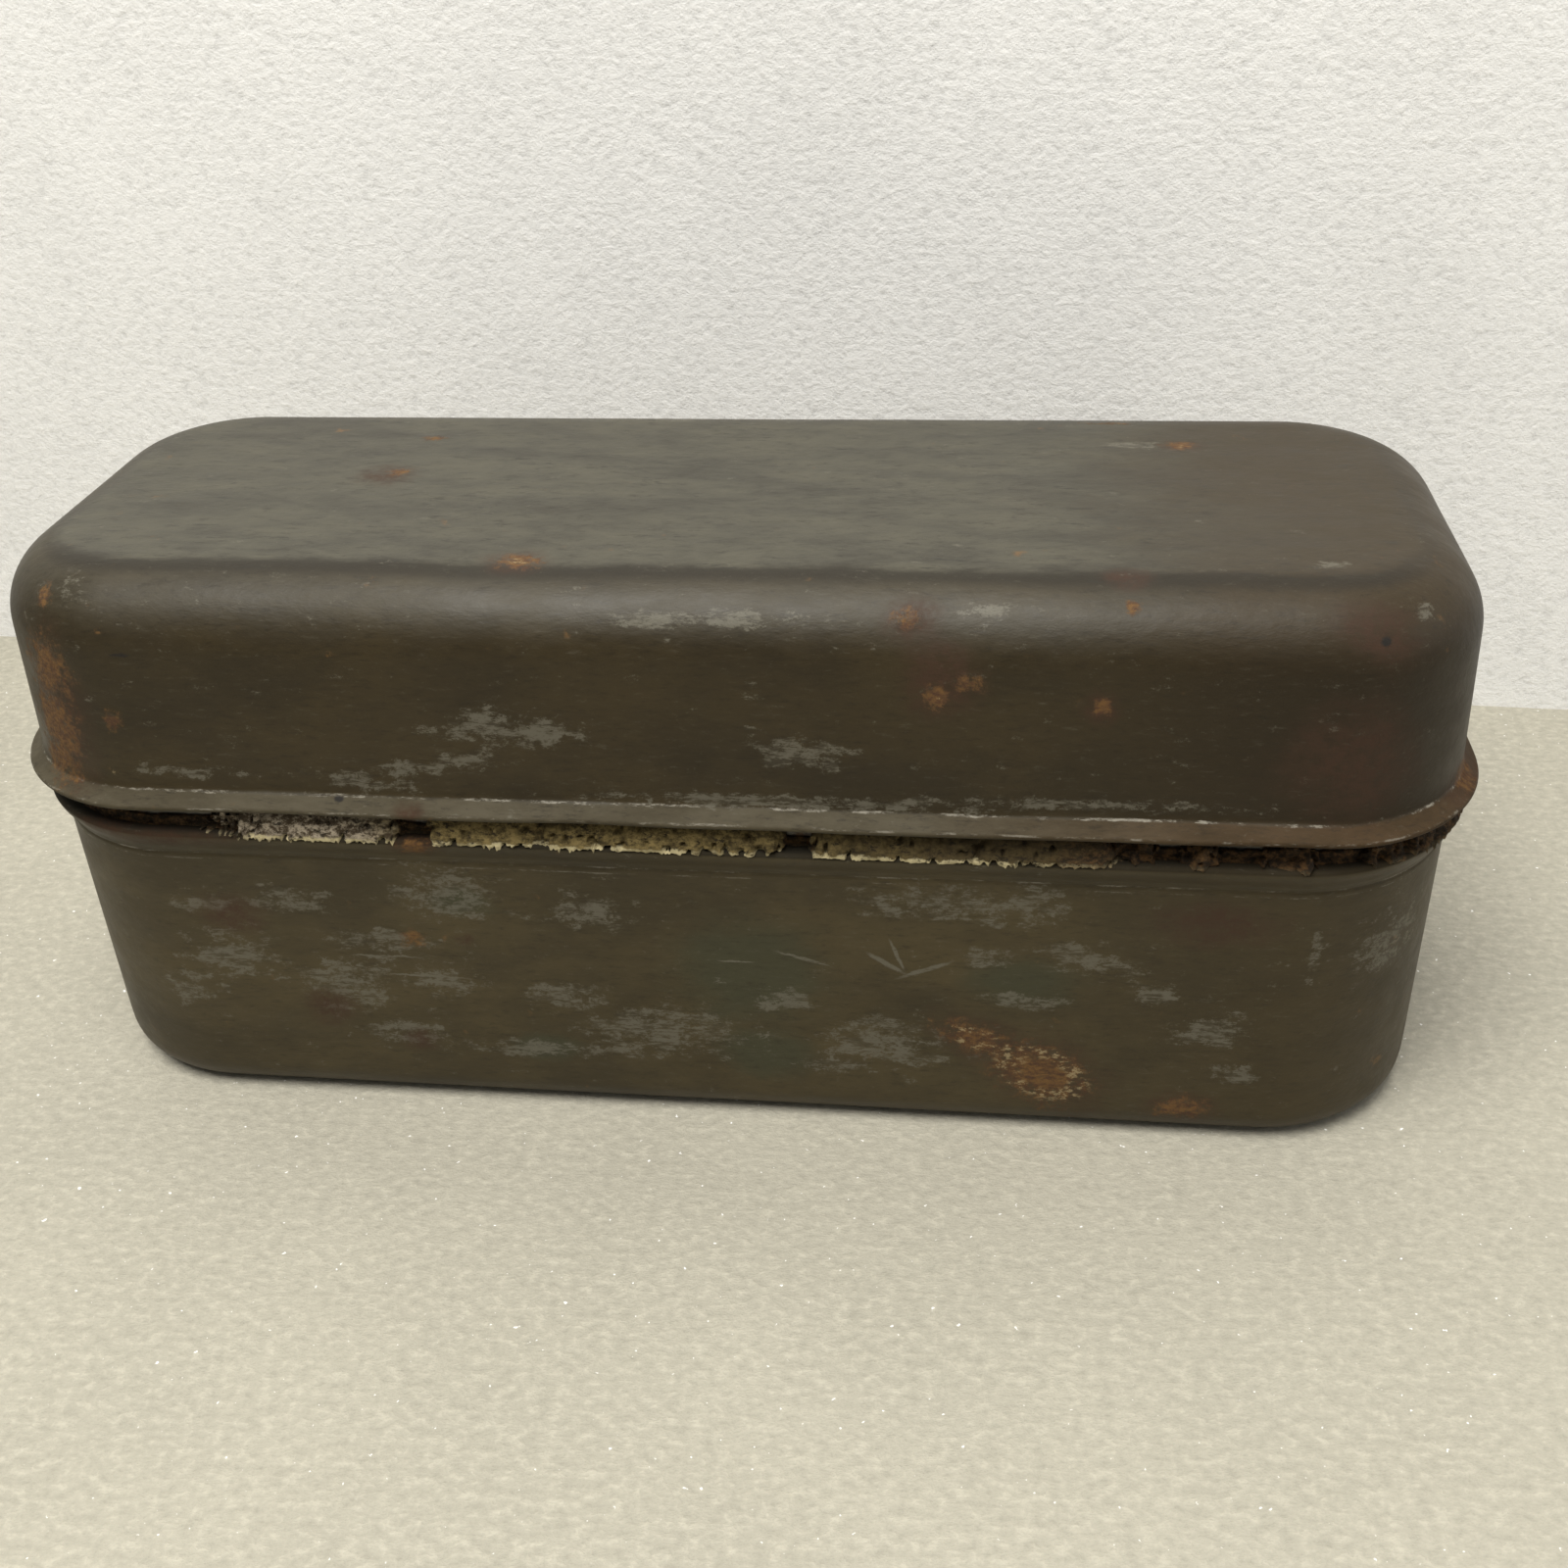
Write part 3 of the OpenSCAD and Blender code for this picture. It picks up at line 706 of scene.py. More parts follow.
def paint_finish(name, wall, top, on_lid):
    """Old olive paint: faded on top, grained, scuffed, stained and rusting through"""
    c = bpy.context.scene.case_colours
    f = Finish(name, specular=0.34)
    up = f.axis("Z", f.normal)
    x, z = f.axis("X"), f.axis("Z")

    # The paint itself: darker and lighter clouds, fading on top
    cloud = f.grain(20, 6, 0.66, (1.8, 1, 1))
    tone = f.clouded(cloud, 0.33, 0.68, wall, 0.76, 1.28)
    mottle = f.grain(7, 7, 0.72, (2.6, 1, 1))
    faded = f.clouded(mottle, 0.32, 0.68, top, 0.70, 1.16)
    if on_lid:
        tone = f.mix(f.ramp(up, 0.25, 0.75, 0, 0.34), tone, faded)
    colour = f.mix(f.ramp(f.shaken(up, mottle, 0.14), 0.94, 1.0), tone, faded)
    if not on_lid:
        spread = f.ramp(f.charted("green", 1.1, 7), 1.3, 0.45, 0, 0.8)
        colour = f.mix(spread, colour, c.green_paint)
        # Painted shade: the bead goes dark just under the strip, partly a stain and partly the
        # shade under the strip and the flange
        seat_stain_and_shade = f.ramp(f.plus(z, f.times(up, 0.7)), *BEAD_STAIN_AND_SHADE, 0, 0.9)
        colour = f.mix(seat_stain_and_shade, colour, shade(wall, 0.25))

    # The right end is browner, and the lid's upper faces there are warm
    aside = f.ramp(f.plus(x, f.times(cloud, 60)), 78, 128)
    brown = shade(wall, (0.56, 0.48, 0.36))
    colour = f.mix(f.times(aside, 0.8 if on_lid else 0.4), colour, brown)
    if on_lid:
        warm = f.times(aside, f.ramp(up, 0.1, 0.8, 0, 0.5))
        colour = f.mix(warm, colour, shade(wall, (1.8, 1.75, 2.1)))
        # Dust on the flange, rusty towards the right
        dust = f.mix(f.ramp(f.plus(x, f.times(mottle, 40)), 40, 110), DUST_LEFT, DUST_RIGHT)
        dust = f.mix(f.ramp(mottle, 0.35, 0.65, 0, 0.5), dust, shade(wall, 0.7))
        colour = f.mix(f.ramp(z, *FLANGE_ROOT, 0, 0.7), colour, dust)
        # Painted shade: a dark band where the top starts to turn down, standing in for the
        # reflection of a dark ceiling, stronger at the front
        tilt = f.shaken(up, mottle, 0.05)
        turned = f.times(f.ramp(tilt, 0.88, 0.965), f.ramp(tilt, 1.005, 0.98))
        turned = f.times(turned, f.ramp(f.axis("Y"), -22, -34, 0.25, 0.8))
        colour = f.mix(turned, colour, shade(wall, 0.4))
    # A fine grain that runs along the case
    fine = f.grain(0.8, 4, 0.75, (4.2, 1.6, 1))
    colour = f.mix(f.ramp(fine, 0.5, 0.28, 0, 0.55), colour, shade(wall, 0.42))
    colour = f.mix(f.ramp(fine, 0.56, 0.8, 0, 0.3), colour, c.scuff)

    # Chalky scuffs, streaked along the case, dense in their places and sparse elsewhere; on the
    # lid's front edge one long patch is partly a painted sheen
    zone = f.ramp(f.charted("scuff", 1.7, 6, 60), 2.0, 0.3, 0, 0.17)
    streak = f.grain(2.8, 9, 0.82, (1.7, 1, 1), shift=40)
    chalk = f.ramp(f.plus(streak, zone), 0.595, 0.665, 0, 0.76)
    chalk = f.times(chalk, f.ramp(fine, 0.41, 0.54, 0.18, 1))
    if not on_lid:
        line = f.ramp(f.nearest(SCRATCHES, f.wander(0.9, 1.6)), 1.3, 0.7)
        chalk = f.most(chalk, f.times(line, f.ramp(fine, 0.34, 0.52, 0.15, 0.8)))
    colour = f.mix(chalk, colour, c.scuff)

    # Bare lines where the sheet was bent or rubbed, broken along their length
    bands = []
    for height, half, share in LID_LINES if on_lid else BASE_LINES:
        off = f.apart(f.plus(z, f.times(streak, 0.9)), height + 0.45)
        worn = f.ramp(f.grain(2.2, 7, 0.8, (3.2, 1, 1), shift=9), 0.5, 0.6, 0, share)
        bands.append(f.times(f.ramp(off, half, half * 0.3), worn))
    colour = f.mix(f.most(*bands), colour, BARE_EDGE)

    # Rust: a dark stain, a ragged orange heart and cream flakes round a blister
    crumbs = f.grain(1.9, 8, 0.76, shift=17)
    far = f.charted("stain", 1.2, 5, 80)
    stained = f.times(f.ramp(far, 1.35, 0.25), f.ramp(crumbs, 0.36, 0.6, 0.3, 0.85))
    colour = f.mix(stained, colour, c.old_rust)
    heart = f.charted("rust", 1.0, 5, 50)
    if on_lid:
        heart = f.least(heart, f.nearest(LID_SPOTS, f.wander(1.2, 1.4)))
    near = f.minus(crumbs, f.times(f.minus(heart, 0.8), 0.28))
    live = f.ramp(near, 0.41, 0.62, 0, 0.85)
    bits = f.grain(1.0, 4, 0.75, (1.7, 1, 1), shift=5)
    orange = f.mix(f.ramp(bits, 0.36, 0.62), shade(c.old_rust, 1.5), c.rust)
    colour = f.mix(live, colour, orange)
    rim = f.ramp(f.apart(f.shaken(f.read("flakes"), mottle, 0.9), 0.85), 0.36, 0.08)
    colour = f.mix(f.times(rim, f.ramp(bits, 0.52, 0.6, 0, 0.8)), colour, c.flake)
    dots = f.ramp(f.grain(5.5, 2, 0.5, shift=71), 0.70, 0.78)
    dots = f.times(dots, f.ramp(crumbs, 0.45, 0.62))
    colour = f.mix(f.times(dots, 0.7), colour, c.rust)
    if on_lid:
        hole = f.ramp(f.nearest(LID_PITS, f.wander(0.8, 1.0)), 1.2, 0.6)
        colour = f.mix(hole, colour, PIT_HOLE)
        # Craze lines near the edges of the top
        craze = f.ramp(f.grain(1.6, 5, 0.8, (6, 1.2, 1), shift=3), 0.40, 0.34)
        craze = f.times(f.times(craze, f.ramp(up, 0.8, 0.99)), 0.7)
        colour = f.mix(craze, colour, shade(top, 0.3))

    # Dust, the strip's seat and rust are matt, and the sheet is uneven and blistered
    gloss = f.ramp(mottle, 0.3, 0.7, 0.38, 0.50)
    matt = f.ramp(z, *FLANGE_ROOT, 0, 0.3) if on_lid else f.times(seat_stain_and_shade, 0.45)
    gloss = f.plus(f.plus(gloss, matt), f.times(fine, 0.10))
    gloss = f.plus(gloss, f.times(f.most(live, f.times(stained, 0.6)), 0.3))
    blister = f.ramp(f.read("rust"), 1.5, 0.3)
    relief = f.times(f.grain(1.2, 3, 0.7, (2.2, 1, 1)), 0.6)
    relief = f.plus(relief, f.times(f.grain(6, 2, 0.5), 1.0))
    relief = f.plus(relief, f.times(f.times(blister, f.grain(1.7, 3, 0.75)), 2.2))
    return f.surface(colour, gloss, relief, 0.12)


def inner_finish():
    """Paint inside the case: cleaner, with thin rust coming through"""
    c = bpy.context.scene.case_colours
    f = Finish("inner_paint", specular=0.4)
    colour = f.clouded(f.grain(22, 5, 0.6), 0.34, 0.68, c.inner_paint, 0.8, 1.15)
    colour = f.mix(f.ramp(f.grain(1.3, 3, 0.7), 0.5, 0.75, 0, 0.25), colour, c.scuff)
    weak = f.grain(13, 6, 0.7, shift=12)
    colour = f.mix(f.ramp(weak, 0.57, 0.72, 0, 0.7), colour, c.old_rust)
    live = f.times(f.ramp(weak, 0.63, 0.74), f.ramp(f.grain(1.6, 5, 0.75), 0.45, 0.6))
    colour = f.mix(live, colour, c.rust)
    rough = f.ramp(f.grain(8, 3), 0.3, 0.7, 0.42, 0.62)
    return f.surface(colour, rough, f.grain(1.4, 4, 0.7), 0.06)


def steel_finish(name, tone, rust_from, rough=0.42):
    """Dull tinned steel with brush lines, grey clouds and rust creeping in"""
    c = bpy.context.scene.case_colours
    f = Finish(name, metallic=1.0, specular=0.5)
    steel = shade(c.steel, tone)
    spangle = f.grain(9, 5, 0.65)
    colour = f.clouded(spangle, 0.32, 0.68, steel, 0.62, 1)
    lines = f.grain(0.7, 4, 0.7, (8, 1, 1))
    colour = f.mix(f.ramp(lines, 0.35, 0.7, 0, 0.35), colour, shade(steel, 0.5))
    weak = f.grain(12, 6, 0.72, shift=21)
    rusty = f.ramp(weak, rust_from, rust_from + 0.12)
    crumbs = f.grain(1.5, 5, 0.75, shift=2)
    tint = f.mix(f.ramp(crumbs, 0.38, 0.62), c.old_rust, c.rust)
    colour = f.mix(f.times(rusty, 0.9), colour, tint)
    shine = f.ramp(spangle, 0.3, 0.7, rough, rough + 0.16)
    shine = f.plus(shine, f.times(rusty, 0.32))
    metal = f.minus(1.0, f.times(rusty, 0.95))
    relief = f.plus(f.times(lines, 0.5), f.times(f.times(rusty, crumbs), 2))
    return f.surface(colour, shine, relief, 0.06, metal)


def fitting_finish(name, worn_from):
    """Old paint on the hinges, worn to steel on the crowns"""
    c = bpy.context.scene.case_colours
    f = Finish(name, specular=0.5)
    colour = f.clouded(f.grain(8, 5, 0.6), 0.35, 0.66, c.base_paint, 0.8, 1.3)
    chips = f.grain(2.1, 6, 0.72, (1.8, 1, 1), shift=6)
    bare = f.ramp(chips, worn_from, worn_from + 0.06)
    colour = f.mix(f.times(bare, 0.75), colour, shade(c.steel, 0.42))
    weak = f.grain(5, 6, 0.7, shift=33)
    rusty = f.ramp(weak, 0.52, 0.66)
    tint = f.mix(f.ramp(f.grain(1.2, 5, 0.75), 0.4, 0.62), c.old_rust, c.rust)
    colour = f.mix(f.times(rusty, 0.85), colour, tint)
    rough = f.plus(f.ramp(chips, 0.3, 0.7, 0.58, 0.4), f.times(rusty, 0.25))
    relief = f.plus(f.times(f.grain(0.9, 4, 0.7), 0.6), f.times(bare, -0.7))
    return f.surface(colour, rough, relief, 0.08)


def strip_finish():
    """Dried strip: cream on its broken edge, olive and tarry above, rust-soaked at the ends"""
    c = bpy.context.scene.case_colours
    f = Finish("perished_strip", roughness=0.85, specular=0.25)
    x, z = f.axis("X"), f.axis("Z")
    bits = f.grain(1.1, 7, 0.78, (1.5, 1, 1), shift=4)
    olive = f.mix(f.ramp(bits, 0.36, 0.64), OLIVE_DARK, OLIVE_LIGHT)
    left = f.ramp(f.plus(x, f.times(bits, 30)), -28, -44)
    pale = f.mix(f.ramp(bits, 0.44, 0.6), PALE_DARK, PALE_LIGHT)
    colour = f.mix(left, olive, pale)
    side = f.plus(x, f.times(f.grain(6, 5, 0.66, shift=55), 40))
    colour = f.mix(f.ramp(side, 14, 68, 0, 0.8), colour, DIRT)
    # The broken edge shows the strip's own cream
    edge = f.ramp(f.shaken(z, bits, 2.6), 58.95, 58.55)
    cream = f.times(edge, f.ramp(f.grain(6, 4, 0.7, shift=14), 0.36, 0.52, 0.4, 1))
    colour = f.mix(cream, colour, f.clouded(bits, 0.35, 0.65, c.strip, 0.6, 1))
    tar = f.ramp(f.grain(1.2, 6, 0.78, (1.7, 1, 1), shift=23), 0.55, 0.61)
    colour = f.mix(f.times(tar, 0.9), colour, TAR)
    # Rust has soaked both ends; what is left in the gaps is painted dark, partly rust and partly
    # painted shade standing in for the dark holes
    soaked = f.most(f.ramp(side, 70, 90), f.ramp(side, -60, -72))
    rusty = f.mix(f.ramp(bits, 0.42, 0.66), SOAKED_AND_SHADED_DARK, SOAKED_AND_SHADED_LIGHT)
    colour = f.mix(f.times(soaked, 0.92), colour, rusty)
    colour = f.mix(f.ramp(f.read("gone"), 0.12, 0.6, 0, 0.92), colour, rusty)
    return f.surface(colour, None, bits, 0.3)


def foam_finish(name, tint, speckle, see_through=False):
    """Pale stage sheet of fine foam, its cells grained, with painted glints"""
    f = Finish(name, roughness=0.6, specular=0.3)
    colour = f.clouded(f.grain(50, 4), 0.3, 0.7, tint, 0.94, 1)
    bead = f.grain(1.7, 5, 0.7, (1.4, 1, 1.2))
    colour = f.mix(f.ramp(bead, 0.47, 0.7, 0, speckle), colour, shade(tint, 1.4))
    colour = f.mix(f.ramp(bead, 0.5, 0.3, 0, speckle), colour, shade(tint, 0.72))
    # Painted glints: white specks laid into the foam's colour
    painted_glint = f.ramp(f.grain(1.3, 2, 0.5, shift=8), 0.715, 0.76)
    colour = f.mix(painted_glint, colour, (1, 1, 1))
    f.surface(colour, f.ramp(bead, 0.4, 0.7, 0.7, 0.4), bead, 0.5)
    if see_through:
        back = f.node("ShaderNodeNewGeometry").outputs["Backfacing"]
        clear = f.node("ShaderNodeBsdfTransparent")
        choose = f.node("ShaderNodeMixShader")
        f.feed(choose.inputs[0], back)
        f.feed(choose.inputs[1], f.shader.outputs[0])
        f.feed(choose.inputs[2], clear.outputs[0])
        f.feed(f.tree.nodes["Material Output"].inputs[0], choose.outputs[0])
    return f.material


# Operators: the stage and the pieces

# The camera's directions, its clipping and where the soft lights and the stage sheets stand
CAMERA_RIGHT = Vector((0.99237, 0.11741, -0.03770))
CAMERA_UP = Vector((-0.03009, 0.52700, 0.84933))
CAMERA_AHEAD = Vector((-0.11959, 0.84172, -0.52651))
NEAREST_SEEN = 0.01
KEY_LIGHT = ((-0.13, -0.37, 0.95), (0, 0, 0.05), (0.55, 0.52), (1.0, 0.97, 0.90))
FILL_LIGHT = ((0.95, -0.3, 0.5), (0.1, 0, 0.05), (0.6, 0.6), (1.0, 0.98, 0.95))
ROOM_TINT = (1.0, 0.98, 0.92, 1)
FLOOR_PLACE = {"location": (0, -0.6, 0), "rotation": (0, 0, 0)}
BACKDROP_PLACE = {"location": (0, 0.1235, 0.9), "rotation": (math.pi / 2, 0, -0.051)}


class CASE_OT_stage(bpy.types.Operator):
    """Sets the camera, the soft lights, the pale floor and the sheet behind"""

    bl_idname = "case.stage"
    bl_label = "Stage"

    def execute(self, context):
        s = context.scene.case_stage
        context.scene.view_settings.view_transform = "Standard"
        put_down()
        bpy.ops.object.camera_add()
        camera = context.object
        turn = Matrix((CAMERA_RIGHT, CAMERA_UP, -CAMERA_AHEAD)).transposed().to_4x4()
        camera.matrix_world = Matrix.Translation(Vector(s.camera_at)) @ turn
        camera.data.sensor_width = 36
        camera.data.lens = s.lens
        camera.data.clip_start = NEAREST_SEEN
        context.scene.camera = camera

        self.light("key", s.key_power, *KEY_LIGHT)
        self.light("fill", s.fill_power, *FILL_LIGHT)
        world = bpy.data.worlds.new("soft_room")
        context.scene.world = world
        world.use_nodes = True
        even = world.node_tree.nodes["Background"]
        even.inputs["Color"].default_value = ROOM_TINT
        even.inputs["Strength"].default_value = s.ambient

        floor = self.sheet("floor", FLOOR_PLACE, (3, 2, 1))
        floor.data.materials.append(foam_finish("foam_floor", s.floor, 0.5))
        sheet = self.sheet("sheet_behind", BACKDROP_PLACE, (3, 1.8, 1))
        sheet.data.materials.append(foam_finish("foam_sheet", s.backdrop, 0.55, True))
        put_down()
        return {"FINISHED"}

    def light(self, name, power, place, aim, size, tint):
        bpy.ops.object.light_add(type="AREA", location=place)
        light = bpy.context.object
        light.name = name
        light.data.shape = "RECTANGLE"
        light.data.size, light.data.size_y = size
        light.data.energy = power
        light.data.color = tint
        beam = Vector(aim) - Vector(place)
        light.rotation_euler = beam.to_track_quat("-Z", "Y").to_euler()

    def sheet(self, name, place, scale):
        put_down()
        bpy.ops.mesh.primitive_plane_add(size=1, **place)
        sheet = bpy.context.object
        sheet.name = name
        sheet.scale = scale
        bpy.ops.object.transform_apply(location=True, rotation=True, scale=True)
        return sheet


class CASE_OT_lid(bpy.types.Operator):
    """Draws the lid's section, carries it round its plan and dents it"""

    bl_idname = "case.lid"
    bl_label = "Lid"

    def execute(self, context):
        s = context.scene.case_lid
        r, t, edge, tip = s.corner_radius, s.sheet, s.edge_radius, s.flange_edge_radius
        core = (LID_HIGH.x - s.flange_out - r, LID_HIGH.y - s.flange_out - r)
        low, top = LID_LOW.z, LID_HIGH.z
        root = low + tip + s.flange_fall
        bend = top - edge
        slope = math.tan(s.draft)
        mid = r - (bend - root) * slope - edge

        def wall(z):
            return r - (z - root) * slope

        # Outside, from the middle of the top to the flange's lip
        flat = [(mid * k, top) for k in (0, 0.33, 0.67)]
        rise = root + 1.7 * MM
        section = flat + arc((mid, bend), edge, 90, 0, 14)
        section += run((wall(bend), bend), (wall(rise), rise), 7)
        section += trace(r, root, (-0.01, 1.25), (0.10, 0.85), (0.34, 0.52), (0.72, 0.18),
                         (1.2, -0.26), (1.72, -0.72))
        section += arc((r + s.flange_out - tip, low + tip), tip, 62, -90, 6)
        # Inside, from under the flange back to the middle
        section += trace(r, low, (1.5, 0.16), (0.8, 0.50), (0.1, 0.95), (-0.45, 1.45))
        foot = (r - t, root + 0.2 * MM)
        section += [foot] + run(foot, (wall(bend) - t, bend), 8)
        section += arc((mid, bend), edge - t, 0, 90, 12)[1:]
        section += [(x, top - t) for x, _ in reversed(flat)]

        piece = draw_shell("lid_skin", section, core, (top, top - t), LID_DENTS, rust=LID_RUST,
                           stain=LID_STAIN, scuff=LID_SCUFF_AND_SHEEN, flakes=LID_FLAKES)
        c = context.scene.case_colours
        paint = paint_finish("lid_paint", c.lid_paint, c.faded_paint, True)
        coat(piece, paint, *LID_INSIDE)
        hand_over(piece, "lid", ["lid_shell"])
        return {"FINISHED"}


class CASE_OT_base(bpy.types.Operator):
    """Draws the base's section, carries it round its plan and dents it"""

    bl_idname = "case.base"
    bl_label = "Base"

    def execute(self, context):
        s = context.scene.case_base
        r, t, edge, roll = s.corner_radius, s.sheet, s.edge_radius, s.bead_radius
        core = (BASE_HIGH.x - s.bead_out - r, BASE_HIGH.y - s.bead_out - r)
        top = BASE_HIGH.z
        bead = top - s.bead_height
        mid = r - edge

        # Outside, from the middle of the floor up to the neck
        flat = [(mid * k, 0.0) for k in (0, 0.25, 0.5, 0.75)]
        section = flat + arc((mid, edge), edge, -90, 0, 9)
        section += run((r, edge), (r, bead - 2 * MM), 11)
        section += [(r, bead - 1.0 * MM), (r - s.groove, bead - 0.72 * MM),
                    (r - s.groove * 0.9, bead - 0.5 * MM)]
        section += trace(r, bead, (0.02, -0.25), (0.10, 0.2), (0.34, 0.75), (0.72, 1.35),
                         (1.12, 1.95), (1.5, 2.6), (1.76, 3.2))
        section += arc((r + s.bead_out - roll, top - roll), roll, 0, 90, 5)
        section += trace(r, top, (0.2, 0), (-0.7, 0)) + [(r - NECK_IN, top)]
        # Inside, from the neck down to the middle
        foot = (r - t, bead + 0.7 * MM)
        section += [(r - NECK_IN, top - t)] + trace(r, top - t, (-0.6, 0), (0.3, 0))
        section += trace(r, bead, (0.05, 2.2), (-0.4, 1.3)) + [foot]
        section += run(foot, (r - t, edge), 11)
        section += arc((mid, edge), edge - t, 0, -90, 8)[1:]
        section += [(x, t) for x, _ in reversed(flat)]

        piece = draw_shell("base_skin", section, core, (0.0, t), BASE_DENTS, rust=BASE_RUST,
                           stain=BASE_STAIN, scuff=BASE_SCUFF, green=BASE_GREEN,
                           flakes=BASE_FLAKES)
        c = context.scene.case_colours
        paint = paint_finish("base_paint", c.base_paint, shade(c.faded_paint, 0.85), False)
        coat(piece, paint, *BASE_INSIDE)
        hand_over(piece, "base", ["base_shell"])
        return {"FINISHED"}


# Each coarse step round the strip is split into this many
STRIP_CUTS = 5
# Where the front of the strip has broken away: middle, half width and how much is gone
GAPS = (
    (-48.6, 2.2, 0.95), (15.2, 1.8, 1.0), (67, 1.1, 0.5), (73.8, 2.0, 0.9), (85, 3.2, 0.85),
    (100, 3.6, 0.8), (-27, 0.8, 0.3),
)
# The front lies before FRONT_Y, and little is left beyond these places towards its ends
FRONT_Y, WORN_LEFT, WORN_RIGHT = -38, -78, 60


class CASE_OT_strip(bpy.types.Operator):
    """Lays the perished strip round the neck and breaks its edge"""

    bl_idname = "case.strip"
    bl_label = "Sealing strip"

    def execute(self, context):
        s = context.scene.case_strip
        b = context.scene.case_base
        r = b.corner_radius
        core = (BASE_HIGH.x - b.bead_out - r, BASE_HIGH.y - b.bead_out - r)
        low, high = STRIP_LOW.z, STRIP_HIGH.z
        neck = r - NECK_IN
        lip = r + b.bead_out + s.overhang - 0.2 * MM
        # Along the underside to the lip, up the sloping face, and down the neck
        section = [(neck, low)] + trace(r, low, (-0.4, 0), (0.7, 0), (1.5, 0.02))
        section += trace(lip, low, (-0.15, -0.15), (0, -0.35), (0.12, 0.1), (-0.05, 0.6),
                         (-0.35, 1.1), (-0.55, 1.7), (-0.7, 2.3), (-0.8, 2.9), (-1.0, 3.5),
                         (-1.35, 4.0))
        section += [(r + 0.1 * MM, high), (neck, high - 0.1 * MM), (neck, low)]
        piece = draw_section("strip_skin", section, core)
        step = s.step * STRIP_CUTS
        carry_round(core, round(2 * core[0] / step), round(2 * core[1] / step),
                    round(r * math.pi / 2 / step))
        split_along(piece, core, STRIP_CUTS - 1)
        self.crumble(piece, core, r, s)
        close_up(piece, 50)
        piece.data.materials.append(strip_finish())
        hand_over(piece, "base", ["sealing_strip"])
        return {"FINISHED"}

    def crumble(self, piece, core, r, s):
        """Draws the hanging edge into teeth, pits the face and opens the gaps"""
        bpy.ops.object.mode_set(mode="OBJECT")
        low, high = STRIP_LOW.z, STRIP_HIGH.z
        neck = r - NECK_IN
        bumps = noise.noise
        lost = piece.data.attributes.new("gone", "FLOAT", "POINT")
        for vertex in piece.data.vertices:
            p = vertex.co.copy()
            mid = Vector((max(-core[0], min(core[0], p.x)), max(-core[1], min(core[1], p.y))))
            out = Vector((p.x, p.y)) - mid
            reach = out.length
            way = out.normalized()
            foot = mid + way * r
            q = Vector((foot.x, foot.y, 0)) / MM
            rise = (p.z - low) / (high - low)
            gone = self.gone(q + Vector((0, 0, rise * 2.4)))
            lost.data[vertex.index].value = gone
            flesh = max(0.0, (reach - neck) / (r + 2.2 * MM - neck))
            # The face is uneven and pitted
            coarse = bumps(q * 0.55 + Vector((0, 0, rise * 2.6)))
            fine = bumps(q * 2.1 + Vector((0, 7, rise * 7)))
            pit = max(0.0, bumps(q * 0.8 + Vector((9, 0, rise * 3.4))) - 0.26) * 5
            push = (coarse * 0.45 + fine * 0.22 - min(pit, 1.6)) * flesh
            if rise > 0.95:
                p.z -= max(0.0, bumps(q * 0.9 + Vector((31, 0, 0)))) * 1.2 * MM
            # The lip hangs in teeth of uneven length
            if reach > r + 1.3 * MM and rise < 0.2:
                comb = 0.6 * bumps(q * 0.9 + Vector((0, 0, 50)))
                comb += bumps(q * 2.3 + Vector((3, 0, 50)))
                patchy = 0.55 + 0.9 * bumps(q * 0.12 + Vector((0, 0, 12)))
                length = max(-0.35, min(1.0, comb * 1.6)) * max(0.1, patchy)
                p.z -= length * s.tooth * (0.2 - rise) * 4
                push += max(0.0, length) * 0.25
            # A gap is worn back towards the neck and down towards the bead
            reach += push * MM
            reach = neck + (reach - neck) * (1 - 0.8 * gone)
            p.z = low + (p.z - low) * (1 - 0.65 * gone)
            spot = mid + way * max(reach, neck)
            vertex.co = (spot.x, spot.y, p.z)

    def gone(self, q):
        """Share of the strip that is missing at a place on the plan, in millimetres"""
        ragged = noise.noise(q * 1.3) * 1.5
        if q.y < FRONT_Y:
            near = max(share * max(0.0, min(1.0, (half + 1.1 - abs(q.x - x + ragged)) / 1.1))
                       for x, half, share in GAPS)
            left = max(0.0, min(1.0, (WORN_LEFT - q.x + ragged * 5) / 5))
            right = noise.noise(q * 0.3) * 1.6 + (q.x - 90) / 120 if q.x > WORN_RIGHT else 0
            return max(near, left * 0.92, min(0.6, right))
        wide = noise.noise(Vector((q.x, q.y, 7)) * 0.06) + 0.5 * noise.noise(q * 0.5)
        edge = 0.35 if q.x < -80 else 0.0
        return max(0.0, min(0.95, (wide - 0.05 + edge) * 2.4))


def soften(piece, width):
    """Rounds the hard edges of a plain node with modifiers that stay live"""
    weld = piece.modifiers.new("weld", "WELD")
    weld.merge_threshold = 0.002 * MM
    flat = piece.modifiers.new("flats", "DECIMATE")
    flat.decimate_type = "DISSOLVE"
    flat.angle_limit = math.radians(0.6)
    bevel = piece.modifiers.new("edges", "BEVEL")
    bevel.width = width * MM
    bevel.segments = 2
    bevel.limit_method = "ANGLE"
    bevel.angle_limit = math.radians(40)
    bevel.harden_normals = True


def dress(names, material, width):
    """Gives plain nodes their finish and rounded edges"""
    for name in names:
        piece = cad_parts[name]
        piece.data.materials.clear()
        piece.data.materials.append(material)
        if width:
            soften(piece, width)


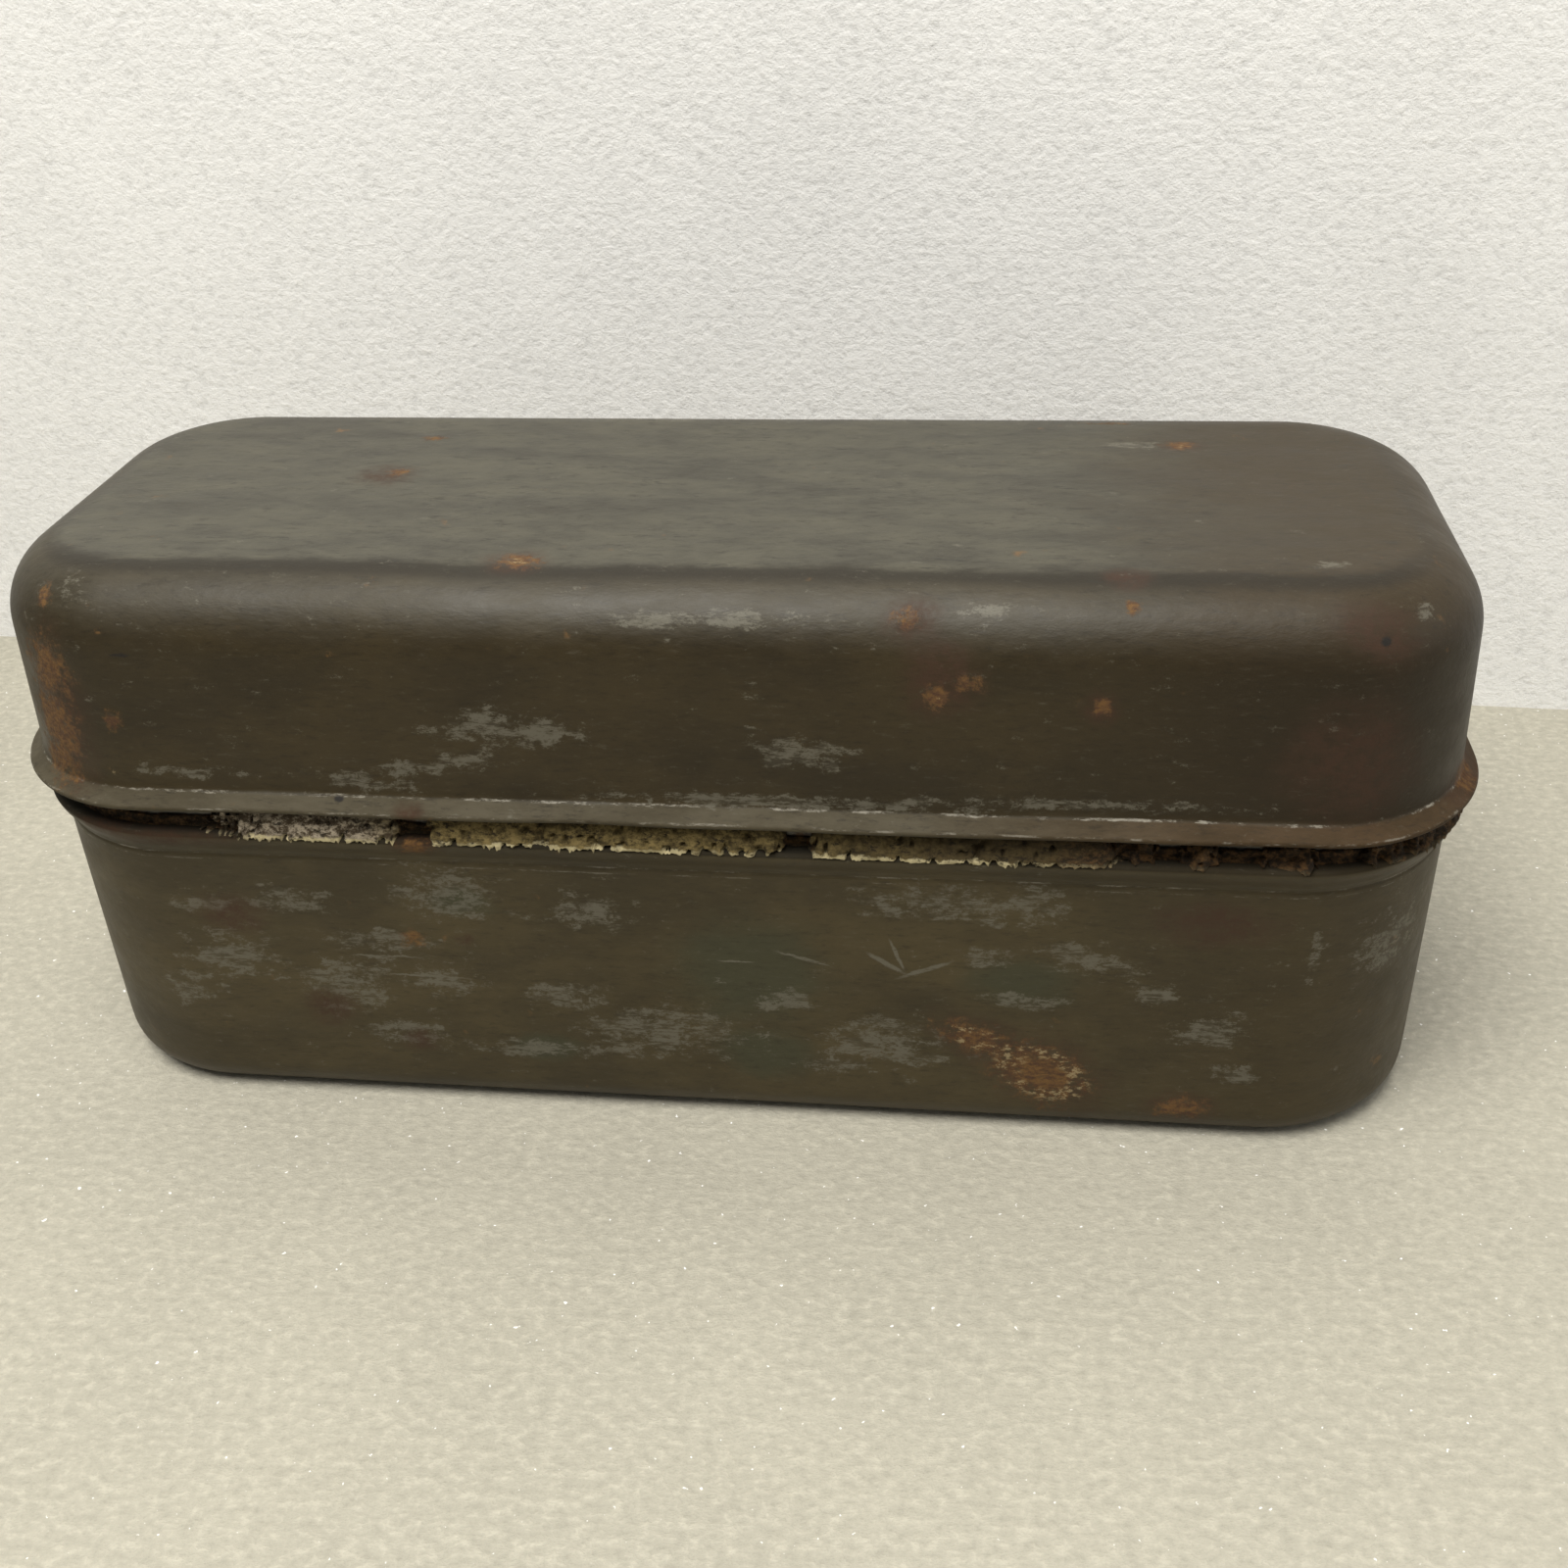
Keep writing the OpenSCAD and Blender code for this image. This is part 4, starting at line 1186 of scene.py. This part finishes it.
class CASE_OT_hinges(bpy.types.Operator):
    """Finishes the hinge leaves, pins and rivets"""

    bl_idname = "case.hinges"
    bl_label = "Hinges"

    def execute(self, context):
        paint = fitting_finish("hinge_paint", 0.58)
        crown = fitting_finish("rivet_paint", 0.52)
        pin = steel_finish("pin_steel", 0.7, 0.5)
        sides = ("left", "right")
        dress([f"hinge_base_leaf_{s}" for s in sides], paint, 0.16)
        dress([f"hinge_lid_leaf_{s}" for s in sides], paint, 0.16)
        dress([f"hinge_pin_{s}" for s in sides], pin, 0.12)
        rivets = [f"{part}_rivets_{s}" for part in ("base", "lid") for s in sides]
        dress(rivets, crown, 0.1)
        return {"FINISHED"}


class CASE_OT_rack(bpy.types.Operator):
    """Finishes the neck band and the dividers of the bottle rack"""

    bl_idname = "case.rack"
    bl_label = "Neck and rack"

    def execute(self, context):
        neck = steel_finish("neck_steel", 0.55, 0.47, 0.45)
        dress(["neck_band"], neck, 0.18)
        rack = steel_finish("rack_steel", 0.9, 0.58, 0.38)
        dividers = ["long_divider", *(f"cross_divider_{i}" for i in range(1, 6))]
        dress(dividers, rack, 0.12)
        return {"FINISHED"}


class CASE_PT_panel(bpy.types.Panel):
    """Lists the operators and the sizes they use"""

    bl_idname = "CASE_PT_panel"
    bl_label = "Hinged bottle case"
    bl_space_type = "VIEW_3D"
    bl_region_type = "UI"
    bl_category = "Case"

    def draw(self, context):
        for operator in OPERATORS:
            self.layout.operator(operator.bl_idname)
        for name, group in SETTINGS.items():
            box = self.layout.box()
            box.label(text=group.__doc__)
            for key in group.__annotations__:
                box.prop(getattr(context.scene, name), key)


OPERATORS = (CASE_OT_stage, CASE_OT_lid, CASE_OT_base, CASE_OT_strip, CASE_OT_hinges, CASE_OT_rack)
CLASSES = (*SETTINGS.values(), *OPERATORS, CASE_PT_panel)


def register():
    for item in CLASSES:
        bpy.utils.register_class(item)
    for name, group in SETTINGS.items():
        setattr(bpy.types.Scene, name, PointerProperty(type=group))


def unregister():
    for name in SETTINGS:
        delattr(bpy.types.Scene, name)
    for item in reversed(CLASSES):
        bpy.utils.unregister_class(item)


def main():
    register()
    bpy.ops.case.stage()
    bpy.ops.case.lid()
    bpy.ops.case.base()
    bpy.ops.case.strip()
    bpy.ops.case.hinges()
    bpy.ops.case.rack()


if __name__ == "__main__":
    main()
